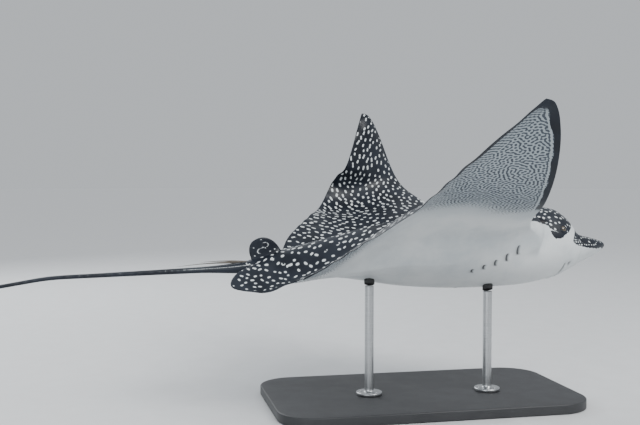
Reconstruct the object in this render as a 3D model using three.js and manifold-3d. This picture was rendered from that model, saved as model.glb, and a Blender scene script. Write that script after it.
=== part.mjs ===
// A spotted eagle ray as a still, life-size model: it banks on a plain display stand,
// one wing low and forward, the other raised and curled over at its tip.
//
// The animal is laid out flat first. In that flat plan, u runs from the snout to the tail,
// v runs sideways (positive on the ray's right) and w is height above the mid plane, all as
// fractions of the disc width. The wings are then curled, the rear is twisted, and the whole
// is turned and set at its height above the floor. World axes: the ray looks along -Y, +Z is up.

import * as THREE from "three";
import { mergeVertices } from "three/addons/utils/BufferGeometryUtils.js";
import Module from "manifold-3d";

const wasm = await Module();
wasm.setup();

// ---------------------------------------------------------------- driving dimensions (mm, degrees)

const DISC_WIDTH = 1500; // wing tip to wing tip, laid flat
const PIVOT_HEIGHT = 372; // height of the point that the body turns about
const PIVOT_U = 0.33; // where that point is along the body
const NOSE_UP = 1.5; // climb of the body's axis
const BANK = 22.3; // right side up
const GAP = 0.3; // clearance between neighbouring pieces

const BASE_LENGTH = 760;
const BASE_WIDTH = 430;
const BASE_THICKNESS = 24;
const BASE_CORNER = 90;
const BASE_BEVEL = 3;
const ROD_RADIUS = 11;
const FOOT_RADIUS = 32;
const FOOT_HEIGHT = 12;
const FOOT_BEVEL = 4;
const ROD_PLACES = [0.22, 0.42]; // u of the front and the rear rod

const STINGS = [
  { u: 0.619, v: 0.0022, length: 0.075, raise: 0.008 },
  { u: 0.627, v: -0.0038, length: 0.105, raise: 0.003 },
];
const STING_HALF_WIDTH = 3;
const STING_HALF_THICKNESS = 1.7;
const STING_SUNK = 2; // depth of its base below the skin

const EYE_RADIUS = 13.5;
const EYE_U = 0.102;
const EYE_V = 0.0605;
const EYE_W = 0.003;

// ---------------------------------------------------------------- plan and sections (disc widths)

const HEAD_START = 0.068; // rostral lobe ends, head begins
const DISC_START = 0.15; // the wings' leading edges leave the head
const DISC_END = 0.556; // the wings' trailing edges reach the body
const HIP_END = 0.605; // the pelvic fins' roots end, the tail begins
const SPLIT = 0.89; // body pieces are parted from the fins at this share of the half width
const TAIL_TIP = 1.9;
const TAIL_CUTS = [0.605, 0.86, 1.16, 1.52, TAIL_TIP];

const LEADING_EDGE = [
  [0.065, 0.15], [0.1, 0.176], [0.15, 0.203], [0.2, 0.226], [0.3, 0.266],
  [0.4, 0.312], [0.46, 0.347], [0.49, 0.371], [0.5, 0.388],
];
const TRAILING_EDGE = [
  [0.02, 0.556], [0.06, 0.553], [0.1, 0.54], [0.15, 0.51], [0.2, 0.483],
  [0.3, 0.44], [0.4, 0.408], [0.46, 0.395], [0.5, 0.388],
];
const HALF_WIDTH = [
  [0, 0.004], [0.004, 0.016], [0.015, 0.028], [0.04, 0.042], [0.066, 0.05], [0.085, 0.061],
  [0.108, 0.069], [0.15, 0.073], [0.26, 0.075], [0.33, 0.071], [0.4, 0.061], [0.47, 0.046],
  [0.53, 0.032], [0.58, 0.02], [0.62, 0.0122], [0.7, 0.0068], [1, 0.0041], [1.5, 0.0024], [1.9, 0.001],
];
const TOP = [
  [0, -0.015], [0.015, -0.008], [0.04, 0], [0.062, 0.01], [0.075, 0.036], [0.1, 0.057],
  [0.13, 0.0625], [0.2, 0.064], [0.26, 0.062], [0.33, 0.056], [0.4, 0.046], [0.47, 0.035],
  [0.53, 0.0255], [0.58, 0.018], [0.62, 0.0108], [0.7, 0.0062], [1, 0.0036], [1.5, 0.0021], [1.9, 0.0008],
];
const BOTTOM = [
  [0, -0.021], [0.015, -0.028], [0.04, -0.036], [0.066, -0.046], [0.1, -0.056], [0.15, -0.062],
  [0.2, -0.064], [0.26, -0.062], [0.33, -0.056], [0.4, -0.046], [0.47, -0.034], [0.53, -0.024],
  [0.58, -0.016], [0.62, -0.01], [0.7, -0.0058], [1, -0.0034], [1.5, -0.0019], [1.9, -0.0007],
];
const WING_HALF_THICKNESS = [
  [0, 0.032], [0.066, 0.029], [0.12, 0.018], [0.2, 0.0105], [0.3, 0.0062], [0.4, 0.0036], [0.5, 0.0016],
];
const CHORD_PROFILE = [
  [0, 0.35], [0.1, 0.78], [0.25, 1], [0.5, 0.84], [0.75, 0.48], [0.9, 0.2], [1, 0.06],
];
// how far out the body's swelling reaches over the wings' roots
const SHOULDER_WIDTH = [
  [0.15, 0.11], [0.3, 0.12], [0.42, 0.1], [0.5, 0.07], [0.556, 0.05], [0.605, 0.04],
];
const BELLY_SPREAD = 1.1; // the belly's swelling reaches this much further out than the back's
const CORNER_FLESH = 0.22; // extra thickness of the wings' inner rear corners
const THINNEST = 0.0006; // half thickness of the finest fin edge
const SECTION_POWER = 2.3; // roundness of the head's and the tail's sections

// ---------------------------------------------------------------- pose (degrees, disc widths)

const WING_HINGE = 0.035; // the wing starts to curl this far from the midline
const WING_RAMP = 0.1; // and has its full slope this much further out
const WING_ROOT = 0.066;
const WING_TIP = 0.4975; // the solid ends just short of the tip, where the chord vanishes
const RIGHT_WING = {
  leading: [-4, -9, -9, 6, 22, 36], // slope from root to tip
  trailing: [13, 3, -11, 4, 15, 18],
  forward: 0.078, // how far the tip is swept ahead
  drop: -0.023, // how far the inner rear corner hangs
};
const LEFT_WING = {
  leading: [83, 70, 59, 51, 46, 45, 54, 92, 123, 138, 145],
  trailing: [88, 54, 37, 40, 38, 69, 110, 164, 99, 99, 109],
  forward: 0.038,
  drop: 0,
};
const CAMBER = 0.008; // rise of the wing's mean surface between its edges
const HEAD_RAISE = 0.105; // slope of the body's axis at the snout
const TAIL_DROOP = 0.094; // slope that it tends to at the rear
const REAR_TWIST = 0.504; // radians, the hips turn back towards level
const PELVIC_DROOP = 0.36; // radians that the pelvic fins hang
const TAIL_SWING = 1.67; // radians that the tail turns to the ray's left by its tip
const TAIL_WAVE = 0.02; // radians of slight waves near its root
const TAIL_LEVEL = 0.088; // radians that it lifts as it leaves the hips
const TAIL_DIP = 0.14; // radians that it then dips
const TAIL_LIFT = 0.17; // radians that it rises again by its tip

// ---------------------------------------------------------------- small helpers

const smooth = (x) => {
  const t = Math.min(1, Math.max(0, x));
  return t * t * (3 - 2 * t);
};
const mix = (a, b, t) => a + (b - a) * t;
const radians = (degrees) => (degrees * Math.PI) / 180;

/** Shape-preserving cubic through [x, y] pairs; constant slope-free ends outside them. */
function curve(points) {
  const n = points.length;
  const x = points.map((p) => p[0]);
  const y = points.map((p) => p[1]);
  const h = [];
  const d = [];
  for (let i = 0; i < n - 1; i++) {
    h.push(x[i + 1] - x[i]);
    d.push((y[i + 1] - y[i]) / h[i]);
  }
  const slope = new Array(n).fill(0);
  for (let i = 1; i < n - 1; i++) {
    if (d[i - 1] * d[i] > 0) {
      const a = 2 * h[i] + h[i - 1];
      const b = h[i] + 2 * h[i - 1];
      slope[i] = (a + b) / (a / d[i - 1] + b / d[i]);
    }
  }
  slope[0] = d[0];
  slope[n - 1] = d[n - 2];
  return (value) => {
    const v = Math.min(x[n - 1], Math.max(x[0], value));
    let i = 0;
    while (i < n - 2 && v > x[i + 1]) i++;
    const t = (v - x[i]) / h[i];
    const t2 = t * t;
    const t3 = t2 * t;
    return (
      (2 * t3 - 3 * t2 + 1) * y[i] +
      (t3 - 2 * t2 + t) * h[i] * slope[i] +
      (3 * t2 - 2 * t3) * y[i + 1] +
      (t3 - t2) * h[i] * slope[i + 1]
    );
  };
}

const leadingEdge = curve(LEADING_EDGE);
const trailingEdge = curve(TRAILING_EDGE);
const halfWidth = curve(HALF_WIDTH);
const topLine = curve(TOP);
const bottomLine = curve(BOTTOM);
const wingHalfThickness = curve(WING_HALF_THICKNESS);
const chordProfile = curve(CHORD_PROFILE);
const shoulderWidth = curve(SHOULDER_WIDTH);

// ---------------------------------------------------------------- the flat animal

/** How far back a plan point is between the wing's two edges, 0 to 1. */
function chordShare(u, v) {
  const front = leadingEdge(v);
  const chord = Math.max(trailingEdge(v) - front, 1e-4);
  return Math.min(1, Math.max(0, (u - front) / chord));
}

/** Half thickness of the wing, with fleshy rear corners where the pelvic fins begin. */
function wingThickness(u, v) {
  const q = chordShare(u, v);
  const fleshy = CORNER_FLESH * (1 - smooth((v - 0.03) / 0.045)) * smooth((q - 0.7) / 0.3);
  return Math.max(THINNEST, wingHalfThickness(v) * (chordProfile(q) + fleshy));
}

/** Height of the rounded section of head or tail at v, above (side 1) or below (side -1). */
function roundSection(u, v, side) {
  const a = halfWidth(u);
  const middle = (topLine(u) + bottomLine(u)) / 2;
  const half = (topLine(u) - bottomLine(u)) / 2;
  const share = Math.min(1, v / a);
  return middle + side * half * (1 - share ** SECTION_POWER) ** (1 / SECTION_POWER);
}

/** Height of the skin over the disc, parted into what curls with the wing and what does not. */
function discSection(u, v, side) {
  const line = side > 0 ? topLine(u) : bottomLine(u);
  const thin = wingThickness(u, v);
  const core = Math.max(0, Math.abs(line) - wingThickness(u, 0));
  const reach = shoulderWidth(u) * (side > 0 ? 1 : BELLY_SPREAD);
  const share = Math.min(1, v / reach);
  return { thin: side * thin, bulk: side * core * (1 - share * share) ** 2 };
}

/** Skin height at a plan point of the head, the disc or the tail. */
function section(u, v, side) {
  if (u <= DISC_START) return { thin: 0, bulk: roundSection(u, v, side) };
  const blend = smooth((u - DISC_START) / 0.06) * (1 - smooth((u - DISC_END) / (HIP_END - DISC_END)));
  if (blend === 0) return { thin: 0, bulk: roundSection(u, v, side) };
  const disc = discSection(u, v, side);
  const inner = Math.min(v, SPLIT * halfWidth(u));
  const fade = 1 - smooth((v - inner) / 0.05);
  const round = roundSection(u, inner, side) * fade;
  return { thin: disc.thin * blend, bulk: mix(round, disc.bulk, blend) };
}

// ---------------------------------------------------------------- curling the wings

const SPAN_STEPS = 120;
const TAIL_STEPS = 240;

/** Path of one wing edge across the span: lateral place, lift and slope at each step. */
function spanPath(slopes) {
  const slopeAt = curve(slopes.map((s, i) => [i / (slopes.length - 1), radians(s)]));
  const path = [{ v: WING_HINGE, lateral: WING_HINGE, lift: 0, slope: 0 }];
  const step = (0.5 - WING_HINGE) / SPAN_STEPS;
  for (let i = 1; i <= SPAN_STEPS; i++) {
    const v = WING_HINGE + i * step;
    const share = Math.max(0, (v - WING_ROOT) / (0.5 - WING_ROOT));
    const slope = slopeAt(share) * smooth((v - WING_HINGE) / WING_RAMP);
    const last = path[i - 1];
    const middle = (last.slope + slope) / 2;
    path.push({
      v,
      lateral: last.lateral + step * Math.cos(middle),
      lift: last.lift + step * Math.sin(middle),
      slope,
    });
  }
  return path;
}

function onPath(path, v) {
  const last = path.length - 1;
  const place = Math.min(last, Math.max(0, ((v - path[0].v) / (path[last].v - path[0].v)) * last));
  const i = Math.min(last - 1, Math.floor(place));
  const t = place - i;
  return {
    lateral: mix(path[i].lateral, path[i + 1].lateral, t),
    lift: mix(path[i].lift, path[i + 1].lift, t),
  };
}

/** Mean surface of a curled wing as a function of span and chord share. */
function wingSurface(wing) {
  const front = spanPath(wing.leading);
  const rear = spanPath(wing.trailing);
  const a = front[front.length - 1];
  const b = rear[rear.length - 1];
  const closing = { lateral: (b.lateral - a.lateral) / 2, lift: (b.lift - a.lift) / 2 };
  return (v, q) => {
    if (v <= WING_HINGE) return { lateral: v, lift: hang(wing, v, q) };
    const f = onPath(front, v);
    const r = onPath(rear, v);
    const close = smooth((v - 0.2) / 0.3);
    return {
      lateral: mix(f.lateral + closing.lateral * close, r.lateral - closing.lateral * close, q),
      lift: mix(f.lift + closing.lift * close, r.lift - closing.lift * close, q) + hang(wing, v, q),
    };
  };
}

/** The inner rear corner of the wing hangs below the mid plane. */
function hang(wing, v, q) {
  const share = Math.min(1, Math.max(0, (v - WING_ROOT) / (0.5 - WING_ROOT)));
  return wing.drop * smooth((v - 0.01) / 0.055) * (1 - share) ** 3 * smooth((q - 0.2) / 0.8);
}

const surfaces = { right: wingSurface(RIGHT_WING), left: wingSurface(LEFT_WING) };

/** Lateral place and lift of the mid surface anywhere in the plan. */
function midSurface(u, v, wing, surface) {
  const curled = surface(v, chordShare(u, v));
  const still = 1 - (1 - smooth((u - 0.13) / 0.05)) * (1 - smooth((v - 0.062) / 0.035));
  const behind = smooth((u - trailingEdge(v)) / 0.045);
  const pelvicLift = -Math.tan(PELVIC_DROOP) * smooth((v - 0.01) / 0.05) * Math.max(0, v - 0.01);
  return {
    lateral: mix(mix(v, curled.lateral, still), v, behind),
    lift: mix(curled.lift * still, pelvicLift, behind),
  };
}

// ---------------------------------------------------------------- turning the body

/** Heading of the tail, integrated along its length. */
function tailPath() {
  const step = (TAIL_TIP - HIP_END) / TAIL_STEPS;
  const path = [{ back: HIP_END, lateral: 0, lift: 0, turn: 0 }];
  for (let i = 1; i <= TAIL_STEPS; i++) {
    const share = i / TAIL_STEPS;
    const wave = TAIL_WAVE * Math.sin(share * 14) * (1 - share);
    const turn = wave - TAIL_SWING * smooth((share - 0.24) / 0.9);
    const rise =
      TAIL_LEVEL * smooth(share / 0.05) -
      TAIL_DIP * smooth((share - 0.22) / 0.05) +
      TAIL_LIFT * smooth((share - 0.35) / 0.5);
    const last = path[i - 1];
    path.push({
      back: last.back + step * Math.cos(turn) * Math.cos(rise),
      lateral: last.lateral + step * Math.sin(turn),
      lift: last.lift + step * Math.sin(rise),
      turn,
    });
  }
  return (u) => {
    const place = Math.min(TAIL_STEPS, Math.max(0, (u - HIP_END) / step));
    const i = Math.min(TAIL_STEPS - 1, Math.floor(place));
    const t = place - i;
    return {
      back: mix(path[i].back, path[i + 1].back, t),
      lateral: mix(path[i].lateral, path[i + 1].lateral, t),
      lift: mix(path[i].lift, path[i + 1].lift, t),
      turn: mix(path[i].turn, path[i + 1].turn, t),
    };
  };
}
const tailAt = tailPath();

/** Head raised, hips twisted, tail drooping. Local axes: back, right, up. */
function bendBody(back, lateral, lift) {
  const head = Math.max(0, 0.3 - back) / 0.3;
  const twist = REAR_TWIST * smooth((back - 0.36) / 0.26);
  const rear = Math.max(0, back - 0.4);
  return {
    back,
    right: lateral * Math.cos(twist) + lift * Math.sin(twist),
    up:
      lift * Math.cos(twist) -
      lateral * Math.sin(twist) +
      (HEAD_RAISE * 0.3 * head ** 3) / 3 -
      (TAIL_DROOP * rear * rear) / (rear + 0.1),
  };
}

const pitch = radians(NOSE_UP);
const roll = radians(BANK);
const FORWARD = new THREE.Vector3(0, -Math.cos(pitch), Math.sin(pitch));
const LEVEL_RIGHT = new THREE.Vector3(-1, 0, 0);
const LEVEL_UP = new THREE.Vector3().crossVectors(LEVEL_RIGHT, FORWARD);
const RIGHT = LEVEL_RIGHT.clone().multiplyScalar(Math.cos(roll)).addScaledVector(LEVEL_UP, Math.sin(roll));
const UP = LEVEL_UP.clone().multiplyScalar(Math.cos(roll)).addScaledVector(LEVEL_RIGHT, -Math.sin(roll));

/** Place a point of the bent body in the world, in millimetres. */
function toWorld(local) {
  return new THREE.Vector3(0, 0, PIVOT_HEIGHT)
    .addScaledVector(FORWARD, -(local.back - PIVOT_U) * DISC_WIDTH)
    .addScaledVector(RIGHT, local.right * DISC_WIDTH)
    .addScaledVector(UP, local.up * DISC_WIDTH);
}

/** World place of a skin point: plan place (u, signed v), height that curls and height that does not. */
function pose(u, signedV, thin, bulk) {
  if (u > HIP_END) {
    const tail = tailAt(u);
    const back = tail.back - signedV * Math.sin(tail.turn);
    const right = tail.lateral + signedV * Math.cos(tail.turn);
    return toWorld(bendBody(back, right, tail.lift + thin + bulk));
  }
  const side = signedV < 0 ? -1 : 1;
  const v = Math.abs(signedV);
  const wing = side > 0 ? RIGHT_WING : LEFT_WING;
  const surface = side > 0 ? surfaces.right : surfaces.left;
  const e = 0.002;
  const here = midSurface(u, v, wing, surface);
  const inner = midSurface(u, Math.max(0, v - e), wing, surface);
  const outer = midSurface(u, Math.min(0.5, v + e), wing, surface);
  const slope = Math.atan2(outer.lift - inner.lift, outer.lateral - inner.lateral);
  const q = chordShare(u, v);
  const camber = CAMBER * 4 * q * (1 - q) * smooth((v - 0.08) / 0.15);
  const lateral = here.lateral - (thin + camber) * Math.sin(slope);
  const lift = here.lift + (thin + camber) * Math.cos(slope) + bulk;
  const share = Math.max(0, (v - WING_ROOT) / (0.5 - WING_ROOT));
  return toWorld(bendBody(u - wing.forward * share * share, side * lateral, lift));
}

/** A skin point above (side 1) or below (side -1) the plan point. */
function skin(u, signedV, side) {
  const height = section(u, Math.abs(signedV), side);
  return pose(u, signedV, height.thin, height.bulk);
}

// ---------------------------------------------------------------- making solids

/**
 * Closed solid through equal closed loops. Points k and n-1-k of a loop face each other, and the
 * caps join them. slantCap turns the diagonals of the first cap, to match a neighbour's wall.
 */
function loft(loops, slantCap = false) {
  const n = loops[0].length;
  const positions = loops.flat().flatMap((p) => [p.x, p.y, p.z]);
  const index = [];
  const quad = (a, b, c, d) => index.push(a, b, c, a, c, d);
  for (let i = 0; i < loops.length - 1; i++) {
    for (let k = 0; k < n; k++) {
      const next = (k + 1) % n;
      quad(i * n + k, i * n + next, (i + 1) * n + next, (i + 1) * n + k);
    }
  }
  const end = (loops.length - 1) * n;
  for (let k = 0; k < n / 2 - 1; k++) {
    const [a, b, c, d] = [n - 1 - k, n - 2 - k, k + 1, k];
    if (slantCap) quad(b, c, d, a);
    else quad(a, b, c, d);
    quad(end + d, end + c, end + b, end + a);
  }
  const geometry = new THREE.BufferGeometry();
  geometry.setAttribute("position", new THREE.Float32BufferAttribute(positions, 3));
  geometry.setIndex(index);
  return outward(geometry);
}

/** Turn the triangles round if the solid is inside out. */
function outward(geometry) {
  const p = geometry.attributes.position;
  const index = geometry.index.array;
  const a = new THREE.Vector3();
  const b = new THREE.Vector3();
  const c = new THREE.Vector3();
  let volume = 0;
  for (let i = 0; i < index.length; i += 3) {
    a.fromBufferAttribute(p, index[i]);
    b.fromBufferAttribute(p, index[i + 1]);
    c.fromBufferAttribute(p, index[i + 2]);
    volume += a.dot(b.cross(c));
  }
  if (volume > 0) return geometry;
  const turned = [];
  for (let i = 0; i < index.length; i += 3) turned.push(index[i], index[i + 2], index[i + 1]);
  geometry.setIndex(turned);
  return geometry;
}

function toManifold(geometry) {
  let plain = geometry.clone();
  plain.deleteAttribute("normal");
  plain.deleteAttribute("uv");
  plain = mergeVertices(plain, 1e-4);
  const mesh = new wasm.Mesh({
    numProp: 3,
    vertProperties: new Float32Array(plain.attributes.position.array),
    triVerts: new Uint32Array(plain.index.array),
  });
  return new wasm.Manifold(mesh);
}

function fromManifold(solid) {
  const mesh = solid.getMesh();
  const geometry = new THREE.BufferGeometry();
  geometry.setAttribute("position", new THREE.Float32BufferAttribute(mesh.vertProperties, mesh.numProp));
  geometry.setIndex(Array.from(mesh.triVerts));
  return geometry;
}

/** The first geometry less the others. Slivers that fall off are dropped. */
function cut(geometry, ...tools) {
  const left = tools.reduce((solid, tool) => solid.subtract(toManifold(tool)), toManifold(geometry));
  const largest = left.decompose().reduce((best, part) => (part.volume() > best.volume() ? part : best));
  return fromManifold(largest);
}

/** Even or eased steps between two values. */
function steps(from, to, count, ease = (t) => t) {
  return Array.from({ length: count + 1 }, (_, i) => mix(from, to, ease(i / count)));
}
const cosineEase = (t) => (1 - Math.cos(Math.PI * t)) / 2;

const HALF_GAP = GAP / 2 / DISC_WIDTH;

// ---------------------------------------------------------------- the body's pieces

/** Closed ring round head or tail at u. */
function bodyRing(u, count) {
  const a = halfWidth(u);
  const ring = [];
  for (let k = 0; k < count; k++) {
    const angle = ((k + 0.5) / count) * 2 * Math.PI;
    const share = Math.cos(angle);
    const v = a * Math.sign(share) * Math.abs(share) ** (2 / SECTION_POWER);
    const middle = (topLine(u) + bottomLine(u)) / 2;
    const half = (topLine(u) - bottomLine(u)) / 2;
    const rise = Math.sin(angle);
    const w = middle + half * Math.sign(rise) * Math.abs(rise) ** (2 / SECTION_POWER);
    ring.push(pose(u, v, 0, w));
  }
  return ring;
}

function rings(from, to, count, sides, ease) {
  return loft(steps(from + HALF_GAP, to - HALF_GAP, count, ease).map((u) => bodyRing(u, sides)));
}

function rostrum() {
  return rings(0, HEAD_START, 9, 28, (t) => t ** 1.7);
}

function eyeCentre(side) {
  return pose(EYE_U, side * EYE_V, 0, EYE_W);
}

function eyeBall(side, radius) {
  const ball = new THREE.SphereGeometry(radius, 14, 9);
  const centre = eyeCentre(side);
  ball.translate(centre.x, centre.y, centre.z);
  return ball;
}

function head() {
  const whole = rings(HEAD_START, DISC_START, 8, 28);
  return cut(whole, eyeBall(1, EYE_RADIUS + GAP), eyeBall(-1, EYE_RADIUS + GAP));
}

/** Section across the body between the fins' roots, parted there by upright walls. */
function coreLoop(u, columns) {
  const edge = SPLIT * halfWidth(u) - HALF_GAP;
  const across = steps(edge, -edge, columns);
  const above = across.map((v) => skin(u, v, 1));
  const below = [...across].reverse().map((v) => skin(u, v, -1));
  return [...above, ...below];
}

/** Chord shares of the stations that the trunk and the wings have in common. */
const CHORD = steps(0.0005, 0.9995, 14, (t) => t ** 1.2);

function trunk() {
  return loft(CHORD.map((q) => coreLoop(mix(DISC_START, DISC_END, q), 14)));
}

function hips() {
  return loft(steps(DISC_END + HALF_GAP, HIP_END - HALF_GAP, 8).map((u) => coreLoop(u, 10)));
}

// ---------------------------------------------------------------- the wings

/** Plan place at span share s and chord share q of the wing outside the body. */
function wingPlan(s, q) {
  const rootU = mix(DISC_START, DISC_END, q);
  const v = mix(SPLIT * halfWidth(rootU) + HALF_GAP, WING_TIP, s);
  const u = mix(leadingEdge(v), trailingEdge(v), q);
  return { u: mix(rootU, u, smooth(s / 0.12)), v };
}

/** Airfoil loop across the chord at span share s, from trailing edge over the top and back below. */
function wingLoop(s, side) {
  const chord = [...CHORD].reverse();
  const above = chord.map((q) => {
    const { u, v } = wingPlan(s, q);
    return skin(u, side * v, 1);
  });
  const below = [...chord].reverse().map((q) => {
    const { u, v } = wingPlan(s, q);
    return skin(u, side * v, -1);
  });
  return [...above, ...leadingNose(s, side), ...below];
}

/** Rounded leading edge: it swells sideways at the head and forwards along the wing. */
function leadingNose(s, side) {
  const { u, v } = wingPlan(s, CHORD[0]);
  const high = section(u, v, 1);
  const low = section(u, v, -1);
  const out = smooth(s / 0.1);
  const half = (high.thin + high.bulk - low.thin - low.bulk) / 2;
  const forward = 0.9 * half * out;
  const sideways = (1 - SPLIT) * halfWidth(DISC_START) * (1 - out);
  return [0.6, 0, -0.6].map((rise) => {
    const bulge = Math.sqrt(1 - rise * rise);
    const thin = mix(low.thin, high.thin, (1 + rise) / 2);
    const bulk = mix(low.bulk, high.bulk, (1 + rise) / 2);
    return pose(u - forward * bulge, side * (v + sideways * bulge), thin, bulk);
  });
}

const WING_CUT = 0.42; // span share where inner and outer wing part
const CUT_GAP = HALF_GAP * 2.4; // half the gap there, as a share of the wing's own span
const crowdOutwards = (t) => mix(t, Math.sin((Math.PI / 2) * t), 0.8);

/** Solid through the wing's sections at the given span shares. */
function wing(side, stations) {
  return loft(stations.map((s) => evenLoop(wingLoop(s, side))), side > 0);
}

/** The middle point of a loop is doubled as two near ones, so that all its points pair up. */
function evenLoop(loop) {
  const middle = (loop.length - 1) / 2;
  const before = loop[middle].clone().lerp(loop[middle - 1], 0.25);
  const after = loop[middle].clone().lerp(loop[middle + 1], 0.25);
  return [...loop.slice(0, middle), before, after, ...loop.slice(middle + 1)];
}

// ---------------------------------------------------------------- the pelvic fins

const PELVIC_FRONT_EDGE = 0.066; // v where the fin meets the wing's rear corner
const PELVIC_TIP = { u: 0.655, v: 0.066 };
const PELVIC_ROOT_END = 0.6;
const PELVIC_BULGE = 0.012; // of its outer edge
const PELVIC_ROUNDING = 0.018; // of its rear corner
const FIN_GAP = 4 * HALF_GAP; // from the body
const FRONT_GAP = 3 / DISC_WIDTH; // from the wing

/** Plan place in the pelvic fin: c from body to outer edge, r from the wing to the free rear edge. */
function pelvicPlan(c, r) {
  const rootU = mix(DISC_END + FIN_GAP, PELVIC_ROOT_END, r);
  const frontV = mix(SPLIT * halfWidth(rootU) + FIN_GAP, PELVIC_FRONT_EDGE, c);
  const frontU = trailingEdge(frontV) + FRONT_GAP;
  const sweep = Math.sin((Math.PI / 2) * c ** 0.8);
  const rearU = mix(PELVIC_ROOT_END, PELVIC_TIP.u, sweep) - PELVIC_ROUNDING * c ** 8;
  const rearV = mix(SPLIT * halfWidth(PELVIC_ROOT_END) + FIN_GAP, PELVIC_TIP.v, c);
  const outward = PELVIC_BULGE * Math.sin(Math.PI * r) * c * c;
  return {
    u: c === 0 ? rootU : mix(frontU, rearU, r),
    v: mix(frontV, rearV, r * smooth(c * 3)) + outward,
  };
}

/** The fin's face: as thick as the body at its root, as the wing at its front, thin at its edges. */
function pelvicSkin(c, r, side, face) {
  const { u, v } = pelvicPlan(c, r);
  const rootU = mix(DISC_END + FIN_GAP, PELVIC_ROOT_END, r);
  const root = section(rootU, SPLIT * halfWidth(rootU), face);
  const front = section(DISC_END, v, face);
  const rootShare = 1 - smooth(c * 3.5);
  const frontShare = (1 - rootShare) * (1 - smooth(r * 3)) * 0.9;
  const free = face * (0.0055 * (1 - c) * (1 - 0.6 * r) + 0.0011) * (1 - rootShare - frontShare);
  const thin = root.thin * rootShare + front.thin * frontShare;
  const bulk = root.bulk * rootShare + front.bulk * frontShare + free;
  return finPose(u, side * v, thin, bulk);
}

/** A pelvic fin reaches behind the hips but keeps their twist. */
function finPose(u, signedV, thin, bulk) {
  const spare = Math.max(0, u - HIP_END);
  const point = pose(Math.min(u, HIP_END), signedV, thin, bulk);
  return point.addScaledVector(FORWARD, -spare * DISC_WIDTH);
}

function pelvicFin(side) {
  const loops = steps(0, 1, 8, (t) => t ** 0.9).map((c) => {
    const rows = steps(0, 1, 8);
    const above = rows.map((r) => pelvicSkin(c, r, side, 1));
    const below = [...rows].reverse().map((r) => pelvicSkin(c, r, side, -1));
    return [...above, ...below];
  });
  return loft(loops);
}

// ---------------------------------------------------------------- dorsal fin and stings

const DORSAL_FIN = {
  front: 0.563,
  rear: 0.611,
  lean: 0.018, // the crest is this far behind the root
  height: 0.0325,
  root: 0.004, // depth of the foot that is cut to the back's shape
  halfThickness: 0.0038,
};

/** One level of the dorsal fin, h from 0 at the back's skin to 1 at the crest. */
function dorsalLoop(h) {
  const middle = (DORSAL_FIN.front + DORSAL_FIN.rear) / 2 + DORSAL_FIN.lean * h;
  const narrowing = Math.sqrt(Math.max(0.02, 1 - Math.max(0, h) ** 2.2));
  const half = ((DORSAL_FIN.rear - DORSAL_FIN.front) / 2) * narrowing;
  const rise = h < 0 ? -DORSAL_FIN.root : DORSAL_FIN.height * h;
  const chord = steps(-0.98, 0.98, 7, cosineEase);
  const thickest = DORSAL_FIN.halfThickness * (1 - 0.72 * Math.max(0, h));
  const point = (x, side) => {
    const u = middle + half * x;
    const top = topLine(Math.min(HIP_END, u));
    return finPose(u, side * (thickest * Math.sqrt(1 - x * x) + THINNEST), 0, top + rise);
  };
  return [...chord.map((x) => point(x, 1)), ...[...chord].reverse().map((x) => point(x, -1))];
}

/** A copy of a solid, moved. */
function moved(geometry, x, y, z) {
  return geometry.clone().translate(x, y, z);
}

function dorsalFin(trunkSolid, hipSolid, tailSolid) {
  const levels = [-1, ...steps(0, 0.97, 6, (t) => Math.sin((t * Math.PI) / 2))];
  const whole = loft(levels.map(dorsalLoop));
  const lift = UP.clone().multiplyScalar(GAP);
  const back = [trunkSolid, hipSolid, tailSolid].map((solid) => moved(solid, lift.x, lift.y, lift.z));
  return cut(whole, ...back);
}

/** A barbed sting lies along the top of the tail, its base sunk in the skin. */
function sting({ u, v, length, raise }, tailSolid) {
  const from = skin(u, v, 1).addScaledVector(UP, -STING_SUNK);
  const to = skin(u + length, v, 1).addScaledVector(UP, raise * DISC_WIDTH);
  const along = to.clone().sub(from);
  const across = new THREE.Vector3().crossVectors(along, UP).normalize();
  const above = new THREE.Vector3().crossVectors(across, along).normalize();
  const loops = steps(0, 1, 10).map((t) => {
    const size = Math.max(0.14, (1 - t) ** 0.7);
    return [30, 90, 150, 210, 270, 330].map((degrees) =>
      from.clone()
        .addScaledVector(along, t)
        .addScaledVector(across, Math.cos(radians(degrees)) * STING_HALF_WIDTH * size)
        .addScaledVector(above, Math.sin(radians(degrees)) * STING_HALF_THICKNESS * size),
    );
  });
  return cut(loft(loops), moved(tailSolid, UP.x * GAP, UP.y * GAP, UP.z * GAP));
}

// ---------------------------------------------------------------- the stand

function standBase() {
  const x = BASE_WIDTH / 2 - BASE_BEVEL;
  const y = BASE_LENGTH / 2 - BASE_BEVEL;
  const r = BASE_CORNER - BASE_BEVEL;
  const outline = new THREE.Shape();
  outline.absarc(x - r, y - r, r, 0, Math.PI / 2);
  outline.absarc(r - x, y - r, r, Math.PI / 2, Math.PI);
  outline.absarc(r - x, r - y, r, Math.PI, 1.5 * Math.PI);
  outline.absarc(x - r, r - y, r, 1.5 * Math.PI, 2 * Math.PI);
  const plate = new THREE.ExtrudeGeometry(outline, {
    depth: BASE_THICKNESS - 2 * BASE_BEVEL,
    bevelThickness: BASE_BEVEL,
    bevelSize: BASE_BEVEL,
    bevelSegments: 1,
    curveSegments: 6,
  });
  return plate.translate(0, 0, BASE_BEVEL);
}

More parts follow.
